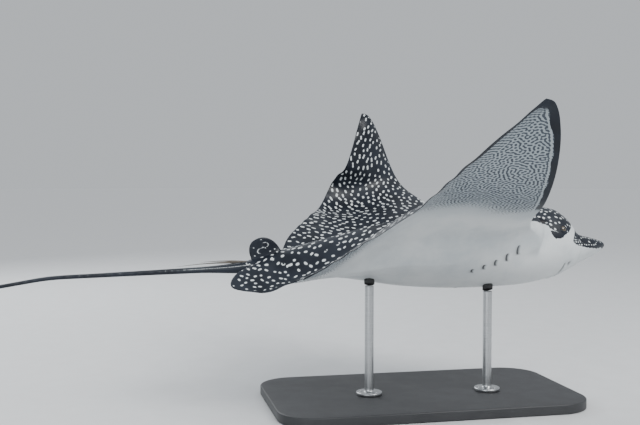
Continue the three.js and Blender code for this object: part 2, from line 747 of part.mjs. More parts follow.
/** A rod on a round foot, shaped at its top to the belly that it carries. */
function standRod(u, trunkSolid) {
  const belly = skin(u, 0, -1);
  const bottom = BASE_THICKNESS + GAP;
  const profile = [
    [0, bottom],
    [FOOT_RADIUS, bottom],
    [FOOT_RADIUS, bottom + FOOT_HEIGHT - FOOT_BEVEL],
    [FOOT_RADIUS - FOOT_BEVEL, bottom + FOOT_HEIGHT],
    [ROD_RADIUS, bottom + FOOT_HEIGHT],
    [ROD_RADIUS, belly.z + 3 * ROD_RADIUS],
    [0, belly.z + 3 * ROD_RADIUS],
  ].map(([radius, z]) => new THREE.Vector2(radius, z));
  const rod = new THREE.LatheGeometry(profile, 16).rotateX(Math.PI / 2).translate(belly.x, belly.y, 0);
  return cut(rod, moved(trunkSolid, 0, 0, -GAP));
}

// ---------------------------------------------------------------- the object

const BLUE_BLACK = { color: 0x18222f, roughness: 0.42, metalness: 0 };
const HORN = { color: 0xb9ad93, roughness: 0.5, metalness: 0 };
const EYE = { color: 0x0a0b0d, roughness: 0.12, metalness: 0 };
const STAND_METAL = { color: 0x6f7378, roughness: 0.4, metalness: 0.9 };
const STAND_PAINT = { color: 0x2a2c2f, roughness: 0.55, metalness: 0 };

const group = new THREE.Group();

function add(name, geometry, look) {
  const mesh = new THREE.Mesh(geometry, new THREE.MeshStandardMaterial(look));
  mesh.name = name;
  group.add(mesh);
}

const trunkSolid = trunk();
const hipSolid = hips();
const tailSolids = TAIL_CUTS.slice(1).map((end, i) => rings(TAIL_CUTS[i], end, i === 0 ? 16 : 12, 8));

add("rostrum", rostrum(), BLUE_BLACK);
add("head", head(), BLUE_BLACK);
add("trunk", trunkSolid, BLUE_BLACK);
add("hips", hipSolid, BLUE_BLACK);
add("dorsal_fin", dorsalFin(trunkSolid, hipSolid, tailSolids[0]), BLUE_BLACK);
for (const [name, side] of [["right", 1], ["left", -1]]) {
  add(`wing_${name}_inner`, wing(side, steps(0, WING_CUT - CUT_GAP, 11)), BLUE_BLACK);
  add(`wing_${name}_outer`, wing(side, steps(WING_CUT + CUT_GAP, 1, 13, crowdOutwards)), BLUE_BLACK);
  add(`pelvic_fin_${name}`, pelvicFin(side), BLUE_BLACK);
  add(`eye_${name}`, eyeBall(side, EYE_RADIUS), EYE);
}
tailSolids.forEach((solid, i) => add(`tail_${i + 1}`, solid, BLUE_BLACK));
STINGS.forEach((place, i) => add(`sting_${i + 1}`, sting(place, tailSolids[0]), HORN));
add("stand_base", standBase(), STAND_PAINT);
ROD_PLACES.forEach((u, i) => add(`stand_rod_${i + 1}`, standRod(u, trunkSolid), STAND_METAL));

export default group;
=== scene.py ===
"""A spotted eagle ray as a still, life-size model, banking on a plain display stand.

The ray is laid out flat first: u runs from the snout to the tail, v sideways (positive on the
ray's right), both as shares of the disc width. Height is kept in two parts, what curls with the
wing ("thin") and what does not ("bulk"). The same bends as in the solid model then pose it.
"""

from __future__ import annotations

import logging
import math
from dataclasses import dataclass, field
from enum import Enum

import bmesh
import bpy
import numpy as np
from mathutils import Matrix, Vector


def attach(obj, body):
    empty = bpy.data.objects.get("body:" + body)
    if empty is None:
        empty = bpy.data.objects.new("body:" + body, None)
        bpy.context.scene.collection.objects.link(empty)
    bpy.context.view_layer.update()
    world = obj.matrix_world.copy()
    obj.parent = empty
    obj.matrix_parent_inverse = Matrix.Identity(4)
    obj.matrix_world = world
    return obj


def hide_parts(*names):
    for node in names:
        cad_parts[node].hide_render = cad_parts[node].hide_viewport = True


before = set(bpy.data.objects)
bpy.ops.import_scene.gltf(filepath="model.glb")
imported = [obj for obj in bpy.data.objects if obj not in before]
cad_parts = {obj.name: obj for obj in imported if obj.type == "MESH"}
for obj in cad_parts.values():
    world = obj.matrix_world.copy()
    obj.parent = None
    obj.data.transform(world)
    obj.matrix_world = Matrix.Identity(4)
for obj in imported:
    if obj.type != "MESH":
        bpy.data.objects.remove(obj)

Array = np.ndarray
Pair = tuple[Array, Array]
Socket = bpy.types.NodeSocket
Node = bpy.types.Node
Material = bpy.types.Material
Object = bpy.types.Object
Point = tuple[float, float]
Point3 = tuple[float, float, float]
Color = tuple[float, float, float]

log = logging.getLogger("eagle_ray")
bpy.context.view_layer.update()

DISC = 1.5  # metres from wing tip to wing tip, laid flat
MM = 0.001
SEED = 7
NO_MARK = -5.0  # distance in millimetres that stands for no mark near
FIN_LONG, FIN_TALL = 36, 49  # half length and height in millimetres of the dorsal fin's flat layout


class Side(Enum):
    """The ray's two sides, with the sign of v on each."""

    RIGHT = 1
    LEFT = -1


class Mark(Enum):
    """Kinds of pale mark on the back."""

    DASH = "dash"
    BEAD = "bead"
    RING = "ring"
    HOOK = "hook"


# ---------- numbers


def smooth(x: Array) -> Array:
    """Smooth step from 0 to 1 over 0 to 1."""
    t = np.clip(x, 0.0, 1.0)
    return t * t * (3 - 2 * t)


def ramp_up(x: Array, start: float, width: float) -> Array:
    """Smooth rise from 0 to 1 that begins at start and takes width."""
    return smooth((x - start) / width)


def ramp_down(x: Array, start: float, width: float) -> Array:
    """Smooth fall from 1 to 0 that begins at start and takes width."""
    return 1 - smooth((x - start) / width)


def bell(x: Array, width: float) -> Array:
    """Bell curve that is 1 where x is 0."""
    return np.exp(-((x / width) ** 2))


def rounding(x: Array) -> Array:
    """Quarter circle from 0 to 1 over 0 to 1."""
    return np.sqrt(1 - (1 - np.clip(x, 0, 1)) ** 2)


def mix(a: Array, b: Array, t: Array) -> Array:
    """Linear blend from a to b."""
    return a + (b - a) * t


def clamp(x: float) -> float:
    """The nearest number from 0 to 1."""
    return min(1.0, max(0.0, x))


def to_mm(share: Array) -> Array:
    """Millimetres from shares of the disc width."""
    return share * DISC / MM


def unit(vector: Array) -> Array:
    """A vector's direction."""
    return vector / np.linalg.norm(vector)


def turns(count: int) -> Array:
    """Even angles round a circle."""
    return np.arange(count) / count * 2 * math.pi


class Curve:
    """Shape-preserving cubic through points, constant outside them."""

    def __init__(self, *points: Point) -> None:
        """Work out the slopes.

        Args:
            points: pairs of place and value, in rising order of place.
        """
        self.x = np.array([p[0] for p in points], float)
        self.y = np.array([p[1] for p in points], float)
        self.h = np.diff(self.x)
        d = np.diff(self.y) / self.h
        slope = np.zeros(len(points))
        for i in range(1, len(points) - 1):
            if d[i - 1] * d[i] > 0:
                a = 2 * self.h[i] + self.h[i - 1]
                b = self.h[i] + 2 * self.h[i - 1]
                slope[i] = (a + b) / (a / d[i - 1] + b / d[i])
        slope[0], slope[-1] = d[0], d[-1]
        self.slope = slope

    def __call__(self, value: Array) -> Array:
        """Value of the curve.

        Args:
            value: places along the curve.

        Returns:
            The curve's value at each place.
        """
        v = np.clip(value, self.x[0], self.x[-1])
        i = np.searchsorted(self.x[1:-1], v, side="left")
        t = (v - self.x[i]) / self.h[i]
        t2, t3 = t * t, t * t * t
        return (
            (2 * t3 - 3 * t2 + 1) * self.y[i]
            + (t3 - 2 * t2 + t) * self.h[i] * self.slope[i]
            + (3 * t2 - 2 * t3) * self.y[i + 1]
            + (t3 - t2) * self.h[i] * self.slope[i + 1]
        )


def graded(stops: list[Point], end: float) -> Array:
    """Stations with a spacing that changes from stretch to stretch.

    Args:
        stops: start of each stretch and the spacing in it.
        end: where the last stretch ends.

    Returns:
        Stations from the first start to the end, all the starts among them.
    """
    starts = [s[0] for s in stops] + [end]
    parts = []
    for (start, step), stop in zip(stops, starts[1:]):
        count = max(1, round((stop - start) / step))
        parts.append(np.linspace(start, stop, count, endpoint=False))
    return np.append(np.concatenate(parts), end)


# ---------- the flat ray

HEAD_END = 0.15
DISC_END = 0.556
HIP_END = 0.605
TAIL_TIP = 1.9
SPLIT = 0.89
WING_ROOT = 0.066
WING_TIP = 0.4975
PELVIC_EDGE = 0.066


@dataclass(frozen=True)
class FlatRay:
    """Outline and sections of the ray laid out flat, in shares of the disc width."""

    leading: Curve = Curve(
        (0.065, 0.15), (0.1, 0.176), (0.15, 0.203), (0.2, 0.226), (0.3, 0.266),
        (0.4, 0.312), (0.46, 0.347), (0.49, 0.371), (0.494, 0.3762), (0.4962, 0.3815),
        (0.4975, 0.3866), (0.5, 0.388),
    )
    trailing: Curve = Curve(
        (0.02, 0.556), (0.06, 0.553), (0.1, 0.54), (0.15, 0.51), (0.2, 0.483),
        (0.3, 0.44), (0.4, 0.408), (0.46, 0.395), (0.49, 0.3893), (0.494, 0.3886), (0.4962, 0.388),
        (0.4975, 0.3873), (0.5, 0.387),
    )
    half_width: Curve = Curve(
        (0, 0.004), (0.004, 0.016), (0.015, 0.028), (0.04, 0.042), (0.066, 0.05), (0.085, 0.061),
        (0.108, 0.069), (0.15, 0.073), (0.26, 0.075), (0.33, 0.071), (0.4, 0.061), (0.47, 0.046),
        (0.53, 0.032), (0.58, 0.02), (0.62, 0.0116), (0.7, 0.0054), (1, 0.0034), (1.5, 0.0021),
        (1.9, 0.001),
    )
    top: Curve = Curve(
        (0, -0.015), (0.015, -0.008), (0.04, 0), (0.062, 0.01), (0.075, 0.036), (0.1, 0.057),
        (0.13, 0.0625), (0.2, 0.064), (0.26, 0.062), (0.33, 0.056), (0.4, 0.046), (0.47, 0.035),
        (0.53, 0.0255), (0.58, 0.018), (0.62, 0.0106), (0.7, 0.0056), (1, 0.0033), (1.5, 0.0019),
        (1.9, 0.0008),
    )
    bottom: Curve = Curve(
        (0, -0.021), (0.015, -0.028), (0.04, -0.036), (0.066, -0.046), (0.1, -0.056), (0.15, -0.062),
        (0.2, -0.064), (0.26, -0.062), (0.33, -0.056), (0.4, -0.046), (0.47, -0.034), (0.53, -0.024),
        (0.58, -0.016), (0.62, -0.0088), (0.7, -0.0036), (1, -0.0024), (1.5, -0.0015), (1.9, -0.0007),
    )
    wing_half: Curve = Curve(
        (0, 0.032), (0.066, 0.029), (0.12, 0.018), (0.2, 0.0105), (0.3, 0.0062), (0.4, 0.0036),
        (0.5, 0.0016),
    )
    chord: Curve = Curve(
        (0, 0.35), (0.1, 0.78), (0.25, 1), (0.5, 0.84), (0.75, 0.48), (0.9, 0.2), (1, 0.06)
    )
    shoulder: Curve = Curve(
        (0.15, 0.11), (0.3, 0.12), (0.42, 0.1), (0.5, 0.07), (0.556, 0.05), (0.605, 0.04)
    )
    belly_spread: float = 1.1
    corner_flesh: float = 0.22
    thinnest: float = 0.0006
    power: float = 2.3
    snout_round: float = 0.007
    tip_round: float = 0.004

    def chord_share(self, u: Array, v: Array) -> Array:
        """How far back a plan point is between the wing's two edges, 0 to 1."""
        front = self.leading(v)
        return np.clip((u - front) / np.maximum(self.trailing(v) - front, 1e-4), 0, 1)

    def wing_thickness(self, u: Array, v: Array) -> Array:
        """Half thickness of the wing, with fleshy inner rear corners."""
        q = self.chord_share(u, v)
        fleshy = self.corner_flesh * ramp_down(v, 0.03, 0.045) * ramp_up(q, 0.7, 0.3)
        return np.maximum(self.thinnest, self.wing_half(v) * (self.chord(q) + fleshy))

    def half_height(self, u: Array) -> Array:
        """Half the height of the body, rounded off at the snout and the tail's tip."""
        front = rounding(u / self.snout_round)
        rear = rounding((TAIL_TIP - u) / self.tip_round)
        return (self.top(u) - self.bottom(u)) / 2 * front * rear

    def middle(self, u: Array) -> Array:
        """Height of the line halfway between back and belly."""
        return (self.top(u) + self.bottom(u)) / 2

    def round_section(self, u: Array, v: Array, side: int) -> Array:
        """Height of the rounded section of head or tail, above (1) or below (-1)."""
        share = np.minimum(1, v / self.half_width(u))
        arch = (1 - share**self.power) ** (1 / self.power)
        return self.middle(u) + side * self.half_height(u) * arch

    def section(self, u: Array, v: Array, side: int) -> Pair:
        """Height of the skin at a plan point.

        Args:
            u: places along the body.
            v: distances from the midline, not negative.
            side: 1 for the back, -1 for the belly.

        Returns:
            The part that curls with the wing and the part that does not.
        """
        line = self.top(u) if side > 0 else self.bottom(u)
        core = np.maximum(0, np.abs(line) - self.wing_thickness(u, np.zeros_like(u)))
        reach = self.shoulder(u) * (1 if side > 0 else self.belly_spread)
        share = np.minimum(1, v / reach)
        swelling = side * core * (1 - share * share) ** 2
        blend = ramp_up(u, HEAD_END, 0.06) * ramp_down(u, DISC_END, HIP_END - DISC_END)
        inner = np.minimum(v, SPLIT * self.half_width(u))
        fade = ramp_down(v, inner, 0.05)
        round_part = self.round_section(u, inner, side) * fade
        bulk = np.where(blend > 0, mix(round_part, swelling, blend), self.round_section(u, v, side))
        return side * self.wing_thickness(u, v) * blend, bulk

    def pelvic_plan(self, c: Array, r: Array) -> Pair:
        """Plan place in the pelvic fin.

        Args:
            c: shares from the body to the fin's outer edge.
            r: shares from the wing to the fin's free rear edge.

        Returns:
            u and v of each place.
        """
        root_u = mix(DISC_END, HIP_END, r)
        front_v = mix(SPLIT * self.half_width(root_u), PELVIC_EDGE, c)
        sweep = np.sin(math.pi / 2 * c**0.8)
        rear_u = mix(HIP_END, 0.655, sweep) - 0.018 * c**8
        rear_v = mix(SPLIT * self.half_width(np.full_like(c, HIP_END)), PELVIC_EDGE, c)
        outward = 0.012 * np.sin(math.pi * r) * c * c
        u = mix(self.trailing(front_v), rear_u, r)
        v = mix(front_v, rear_v, r * smooth(c * 3)) + outward
        return np.where(c == 0, root_u, u), v

    def pelvic_section(self, c: Array, r: Array, v: Array, side: int) -> Pair:
        """Height of the pelvic fin's skin: thick at its root and front, thin at its edges."""
        root_u = mix(DISC_END, HIP_END, r)
        root = self.section(root_u, SPLIT * self.half_width(root_u), side)
        front = self.section(np.full_like(v, DISC_END), v, side)
        root_share = 1 - smooth(c * 3.5)
        front_share = (1 - root_share) * (1 - smooth(r * 3))
        rest = 1 - root_share - front_share
        free = side * (0.0055 * (1 - c) * (1 - 0.6 * r) + 0.0011) * rest
        thin = root[0] * root_share + front[0] * front_share
        return thin, root[1] * root_share + front[1] * front_share + free


RAY = FlatRay()


# ---------- the pose


@dataclass(frozen=True)
class WingCurl:
    """Curl of one wing: slopes in degrees of its two edges from root to tip."""

    leading: tuple[float, ...]
    trailing: tuple[float, ...]
    forward: float
    drop: float
    hinge: float = 0.035
    ramp: float = 0.1
    steps: int = 600

    def path(self, slopes: tuple[float, ...]) -> tuple[Array, Array, Array]:
        """Lateral place and lift of one edge, summed up along the span."""
        count = len(slopes) - 1
        slope_at = Curve(*[(i / count, math.radians(s)) for i, s in enumerate(slopes)])
        v = np.linspace(self.hinge, 0.5, self.steps + 1)
        share = np.maximum(0, (v - WING_ROOT) / (0.5 - WING_ROOT))
        slope = slope_at(share) * ramp_up(v, self.hinge, self.ramp)
        middle = (slope[1:] + slope[:-1]) / 2
        step = v[1] - v[0]
        lateral = self.hinge + np.append(0, np.cumsum(step * np.cos(middle)))
        return v, lateral, np.append(0, np.cumsum(step * np.sin(middle)))

    def surface(self, v: Array, q: Array) -> Pair:
        """Lateral place and lift of the wing's mean surface."""
        at, front_out, front_up = self.path(self.leading)
        _, rear_out, rear_up = self.path(self.trailing)
        close = ramp_up(v, 0.2, 0.3)
        share = np.clip((v - WING_ROOT) / (0.5 - WING_ROOT), 0, 1)
        hang = self.drop * ramp_up(v, 0.01, 0.055) * (1 - share) ** 3 * ramp_up(q, 0.2, 0.8)
        lateral, lift = (
            mix(
                np.interp(v, at, front) + (rear[-1] - front[-1]) / 2 * close,
                np.interp(v, at, rear) - (rear[-1] - front[-1]) / 2 * close,
                q,
            )
            for front, rear in ((front_out, rear_out), (front_up, rear_up))
        )
        return np.where(v <= self.hinge, v, lateral), np.where(v <= self.hinge, 0, lift) + hang


@dataclass(frozen=True)
class Pose:
    """The bends that turn the flat ray into the posed one, and its place above the floor."""

    right_wing: WingCurl = WingCurl((-4, -9, -9, 6, 22, 36), (13, 3, -11, 4, 15, 18), 0.078, -0.023)
    left_wing: WingCurl = WingCurl(
        (83, 70, 59, 51, 46, 45, 54, 92, 123, 138, 145),
        (88, 54, 37, 40, 38, 69, 110, 164, 99, 99, 109), 0.038, 0,
    )
    pivot_height: float = 0.372
    pivot_u: float = 0.33
    nose_up: float = 1.5
    bank: float = 22.3
    camber: float = 0.008
    head_raise: float = 0.105
    tail_droop: float = 0.094
    rear_twist: float = 0.504
    pelvic_droop: float = 0.36
    tail_swing: float = 1.67
    tail_wave: float = 0.02
    tail_level: float = 0.088
    tail_dip: float = 0.14
    tail_lift: float = 0.17
    tail_steps: int = 600
    probe: float = 0.002

    def mid_surface(self, u: Array, v: Array, wing: WingCurl) -> Pair:
        """Lateral place and lift of the mid surface anywhere in the plan."""
        out, up = wing.surface(v, RAY.chord_share(u, v))
        still = 1 - ramp_down(u, 0.13, 0.05) * ramp_down(v, 0.062, 0.035)
        behind = smooth((u - RAY.trailing(v)) / 0.045)
        droop = -math.tan(self.pelvic_droop) * ramp_up(v, 0.01, 0.05) * np.maximum(0, v - 0.01)
        return mix(mix(v, out, still), v, behind), mix(up * still, droop, behind)

    def bend(self, back: Array, lateral: Array, lift: Array) -> Array:
        """Head raised, hips twisted, rear drooping, then out into the world.

        Args:
            back: places along the body, from the snout.
            lateral: places to the ray's right.
            lift: heights above the body's mid plane.

        Returns:
            World points in metres, one per row.
        """
        head = np.maximum(0, 0.3 - back) / 0.3
        twist = self.rear_twist * ramp_up(back, 0.36, 0.26)
        rear = np.maximum(0, back - 0.4)
        right = lateral * np.cos(twist) + lift * np.sin(twist)
        up = lift * np.cos(twist) - lateral * np.sin(twist)
        up = up + self.head_raise * 0.3 * head**3 / 3 - self.tail_droop * rear**2 / (rear + 0.1)
        pitch, roll = math.radians(self.nose_up), math.radians(self.bank)
        forward = np.array([0, -math.cos(pitch), math.sin(pitch)])
        level_right = np.array([-1.0, 0, 0])
        level_up = np.cross(level_right, forward)
        to_right = level_right * math.cos(roll) + level_up * math.sin(roll)
        to_up = level_up * math.cos(roll) - level_right * math.sin(roll)
        return DISC * (
            np.multiply.outer(self.pivot_u - back, forward)
            + np.multiply.outer(right, to_right)
            + np.multiply.outer(up, to_up)
        ) + np.array([0, 0, self.pivot_height])

    def tail_path(self) -> tuple[Array, ...]:
        """Back, lateral, lift and heading of the tail at even steps along it."""
        share = np.linspace(0, 1, self.tail_steps + 1)
        step = (TAIL_TIP - HIP_END) / self.tail_steps
        turn = self.tail_wave * np.sin(share * 14) * (1 - share)
        turn = turn - self.tail_swing * ramp_up(share, 0.24, 0.9)
        rise = (
            self.tail_level * smooth(share / 0.05)
            - self.tail_dip * ramp_up(share, 0.22, 0.05)
            + self.tail_lift * ramp_up(share, 0.35, 0.5)
        )
        back = HIP_END + np.append(0, np.cumsum(step * np.cos(turn[1:]) * np.cos(rise[1:])))
        lateral = np.append(0, np.cumsum(step * np.sin(turn[1:])))
        return back, lateral, np.append(0, np.cumsum(step * np.sin(rise[1:]))), turn

    def place(self, u: Array, signed_v: Array, thin: Array, bulk: Array) -> Array:
        """World points of the skin.

        Args:
            u: places along the body.
            signed_v: places to the ray's right.
            thin: heights that curl with the wing.
            bulk: heights that do not.

        Returns:
            World points in metres, one per row.
        """
        world = np.zeros((len(u), 3))
        back, lateral, lift, turn = self.tail_path()
        at = np.linspace(HIP_END, TAIL_TIP, len(back))
        tail = u > HIP_END
        t = [np.interp(u[tail], at, row) for row in (back, lateral, lift, turn)]
        world[tail] = self.bend(
            t[0] - signed_v[tail] * np.sin(t[3]),
            t[1] + signed_v[tail] * np.cos(t[3]),
            t[2] + thin[tail] + bulk[tail],
        )
        for side, wing in ((Side.RIGHT, self.right_wing), (Side.LEFT, self.left_wing)):
            pick = ~tail & ((signed_v < 0) == (side is Side.LEFT))
            v = np.abs(signed_v[pick])
            world[pick] = self.place_side(u[pick], v, thin[pick], bulk[pick], side, wing)
        return world

    def place_side(
        self, u: Array, v: Array, thin: Array, bulk: Array, side: Side, wing: WingCurl
    ) -> Array:
        """World points of the skin of one side, ahead of the tail."""
        here = self.mid_surface(u, v, wing)
        inner = self.mid_surface(u, np.maximum(0, v - self.probe), wing)
        outer = self.mid_surface(u, np.minimum(0.5, v + self.probe), wing)
        slope = np.arctan2(outer[1] - inner[1], outer[0] - inner[0])
        q = RAY.chord_share(u, v)
        camber = self.camber * 4 * q * (1 - q) * ramp_up(v, 0.08, 0.15) * ramp_down(v, 0.462, 0.029)
        lateral = here[0] - (thin + camber) * np.sin(slope)
        lift = here[1] + (thin + camber) * np.cos(slope) + bulk
        share = np.maximum(0, (v - WING_ROOT) / (0.5 - WING_ROOT))
        return self.bend(u - wing.forward * share**2, side.value * lateral, lift)

    def place_fin(self, u: Array, signed_v: Array, thin: Array, bulk: Array) -> Array:
        """World points of a fin that reaches behind the hips but keeps their twist."""
        spare = np.maximum(0, u - HIP_END)
        pitch = math.radians(self.nose_up)
        rearward = np.array([0, math.cos(pitch), -math.sin(pitch)])
        world = self.place(np.minimum(u, HIP_END), signed_v, thin, bulk)
        return world + np.multiply.outer(spare * DISC, rearward)


POSE = Pose()


# ---------- the skin's mesh


@dataclass
class Sheets:
    """Vertices and faces of the skin's two sheets, back and belly, welded along their edges."""

    vertices: list[Array] = field(default_factory=list)
    faces: dict[int, list[Array]] = field(default_factory=lambda: {1: [], -1: []})
    fans: dict[int, list[Array]] = field(default_factory=lambda: {1: [], -1: []})
    first: dict[str, Array] = field(default_factory=dict)
    count: int = 0
    far_from_edge: float = 99.0

    def add(
        self, u: Array, v: Array, thin: Array, bulk: Array, lay: Array, edge: Array | None = None
    ) -> Array:
        """Add vertices.

        Args:
            u: places along the body, in any shape.
            v: signed places across it.
            thin: heights that curl.
            bulk: heights that do not.
            lay: flat coordinates in millimetres, with a last axis of two.
            edge: distances to a pelvic fin's free edge in millimetres, or None elsewhere.

        Returns:
            The vertices' numbers, in the shape of u.
        """
        ids = self.count + np.arange(u.size).reshape(u.shape)
        far = self.far_from_edge if edge is None else edge
        values = (u, v, thin, bulk, lay[..., 0], lay[..., 1], far, edge is not None)
        columns = [np.broadcast_to(value, u.shape).ravel().astype(float) for value in values]
        self.vertices.append(np.column_stack(columns))
        self.count += u.size
        return ids

    def lay_of(self, ids: Array) -> Array:
        """Flat coordinates of some of the vertices."""
        return np.concatenate(self.vertices)[ids, 4:6]

    def known(self, name: str, shape: tuple[int, int], *shared: object) -> Array:
        """Numbers of a grid's vertices that its first sheet shares with its second, -1 elsewhere."""
        known = np.full(shape, -1)
        for place in shared if name in self.first else ():
            known[place] = self.first[name][place]
        return known

    def grid(self, name: str, ids: Array, side: int, flip: bool = False) -> None:
        """Add the quads of a named grid of vertices to one sheet."""
        self.first.setdefault(name, ids)
        quads = np.stack([ids[:-1, :-1], ids[1:, :-1], ids[1:, 1:], ids[:-1, 1:]], -1).reshape(-1, 4)
        if (side > 0) != flip:
            quads = quads[:, ::-1]
        self.faces[side].append(quads)


@dataclass
class SkinLayout:
    """Lays the skin out flat as one welded mesh of quads."""

    columns: int = 62
    head_arc: int = 30
    tail_arc: int = 8
    fin_band: int = 20
    fin_band_width: float = 0.0045
    arc_crowding: float = 1.25
    nose_out: float = 6.0
    rear_round: float = 1.6
    pelvic_round: float = 2.2
    pelvic_wide: float = 65.0
    pelvic_long: float = 95.0
    rows: Array = field(init=False)
    row_starts: dict[str, int] = field(init=False)
    spans: Array = field(init=False)
    notch: int = field(init=False)

    def __post_init__(self) -> None:
        """Choose the stations along the body and out along the wings."""
        head = graded([(0, 0.0004), (0.006, 0.0009), (0.09, 0.0005), (0.114, 0.0009)], HEAD_END)
        front = graded([(HEAD_END, 0.001), (0.28, 0.0018)], DISC_END - 0.005)
        edge = DISC_END - 0.005 * np.array([0.75, 0.5, 0.32, 0.2, 0.11, 0.05, 0.015])
        trunk = np.concatenate([front, edge])
        hips = graded([(DISC_END, 0.0008)], HIP_END - 0.0016)
        hips = np.append(hips, HIP_END - np.array([0.0011, 0.0007, 0.0004, 0.0002, 0.00006]))
        tail = graded([(HIP_END, 0.001), (0.632, 0.0026), (0.75, 0.006)], TAIL_TIP - 0.004)
        tail = np.append(tail, TAIL_TIP - np.array([0.0028, 0.0016, 0.0008, 0.0002]))
        self.rows = np.concatenate([head[:-1], trunk, hips, tail])
        starts = np.cumsum([0, len(head) - 1, len(trunk), len(hips)])
        self.row_starts = dict(zip(("head", "trunk", "hips", "tail"), starts.tolist()))
        root = SPLIT * float(RAY.half_width(np.array(DISC_END)))
        notch = (PELVIC_EDGE - root) / (WING_TIP - root)
        near = graded([(0, 0.0026)], notch - 0.004)
        near = np.append(near, notch - np.array([0.0022, 0.001, 0.0003, 0]))
        stops = [(notch + 0.0015, 0.0023), (0.2, 0.0032), (0.5, 0.0025), (0.9, 0.0023)]
        far = graded(stops, 0.985)
        tip = np.array([0.988, 0.991, 0.9935, 0.9955, 0.997, 0.998, 0.9988, 0.9994, 0.9998, 1.0])
        self.spans = np.concatenate([near, far, tip])
        self.notch = len(near) - 1

    def across(self, u: Array) -> Array:
        """Places of the columns from the midline to the split, crowded where the dorsal fin stands."""
        split = SPLIT * RAY.half_width(u)[:, None]
        tau = np.arange(self.columns + 1)[None, :] / self.columns
        band = self.fin_band / self.columns
        inner = self.fin_band_width * tau / band
        outer = mix(self.fin_band_width, split, (tau - band) / (1 - band))
        crowded = np.where(tau < band, inner, outer)
        weight = ramp_up(u, 0.47, 0.07) * ramp_down(u, 0.63, 0.08)
        return mix(split * tau, crowded, weight[:, None])

    def arc(self, u: Array, count: int) -> Pair:
        """Angles and plan places on the rounded side, from the split down to the edge."""
        last = math.acos(SPLIT ** (RAY.power / 2))
        angle = last * (1 - np.arange(1, count + 1) / count) ** self.arc_crowding
        v = RAY.half_width(u)[:, None] * np.cos(angle)[None, :] ** (2 / RAY.power)
        return np.broadcast_to(angle, (len(u), count)), v

    def half_rows(self, u: Array, side: int, arc: int) -> tuple[Array, Array, Array, Array]:
        """Half of each row, from the midline outwards.

        Args:
            u: places of the rows.
            side: 1 for the back, -1 for the belly.
            arc: columns on the rounded side, or 0.

        Returns:
            v, thin, bulk and distance along the skin, each by row and column.
        """
        v = self.across(u)
        rows = np.broadcast_to(u[:, None], v.shape)
        thin, bulk = RAY.section(rows, v, side)
        if arc:
            angle, out = self.arc(u, arc)
            rise = np.sin(angle) ** (2 / RAY.power)
            height = RAY.middle(u)[:, None] + side * RAY.half_height(u)[:, None] * rise
            v = np.hstack([v, out])
            thin = np.hstack([thin, np.zeros_like(out)])
            bulk = np.hstack([bulk, height])
        along = np.hypot(np.diff(v, axis=1), np.diff(thin + bulk, axis=1))
        distance = np.hstack([np.zeros((len(u), 1)), np.cumsum(along, axis=1)])
        return v, thin, bulk, distance

    def body_grid(self, sheets: Sheets, u: Array, side: int, arc: int, known: Array) -> Array:
        """Vertices of a stretch of the body, right edge to left edge.

        Args:
            sheets: where the vertices go.
            u: places of the rows.
            side: 1 for the back, -1 for the belly.
            arc: columns on the rounded sides, or 0.
            known: numbers of vertices that exist already, -1 elsewhere.

        Returns:
            The vertices' numbers by row and column.
        """
        v, thin, bulk, distance = self.half_rows(u, side, arc)
        full = np.hstack([v[:, :0:-1], -v])
        mirror = [np.hstack([a[:, :0:-1], a]) for a in (thin, bulk)]
        lay = to_mm(np.hstack([distance[:, :0:-1], -distance]))
        rows = np.broadcast_to(u[:, None], full.shape)
        lay = np.stack([to_mm(rows), lay], -1)
        new = known < 0
        ids = known.copy()
        ids[new] = sheets.add(rows[new], full[new], mirror[0][new], mirror[1][new], lay[new])
        return ids

    def wing_grid(self, sheets: Sheets, side: int, sign: int, root: Array, known: Array) -> Array:
        """Vertices of one wing by span and chord, its nose first.

        Args:
            sheets: where the vertices go.
            side: 1 for the back, -1 for the belly.
            sign: 1 for the right wing, -1 for the left.
            root: numbers of the body's vertices along the wing's root, nose included.
            known: numbers of vertices shared with the other sheet, -1 elsewhere.

        Returns:
            The vertices' numbers by span and chord.
        """
        trunk = self.rows[self.row_starts["trunk"] : self.row_starts["hips"] + 1]
        q = (trunk - HEAD_END) / (DISC_END - HEAD_END)
        s = self.spans[:, None]
        root_u = mix(HEAD_END, DISC_END, q)[None, :]
        v = mix(SPLIT * RAY.half_width(root_u), WING_TIP, s)
        plan_u = mix(RAY.leading(v), RAY.trailing(v), q[None, :])
        u = mix(root_u, plan_u, smooth(s / 0.12))
        thin, bulk = RAY.section(u, v, side)
        low = RAY.section(u[:, :1], v[:, :1], -side)
        thin = thin * self.close_rear(u, v, s)
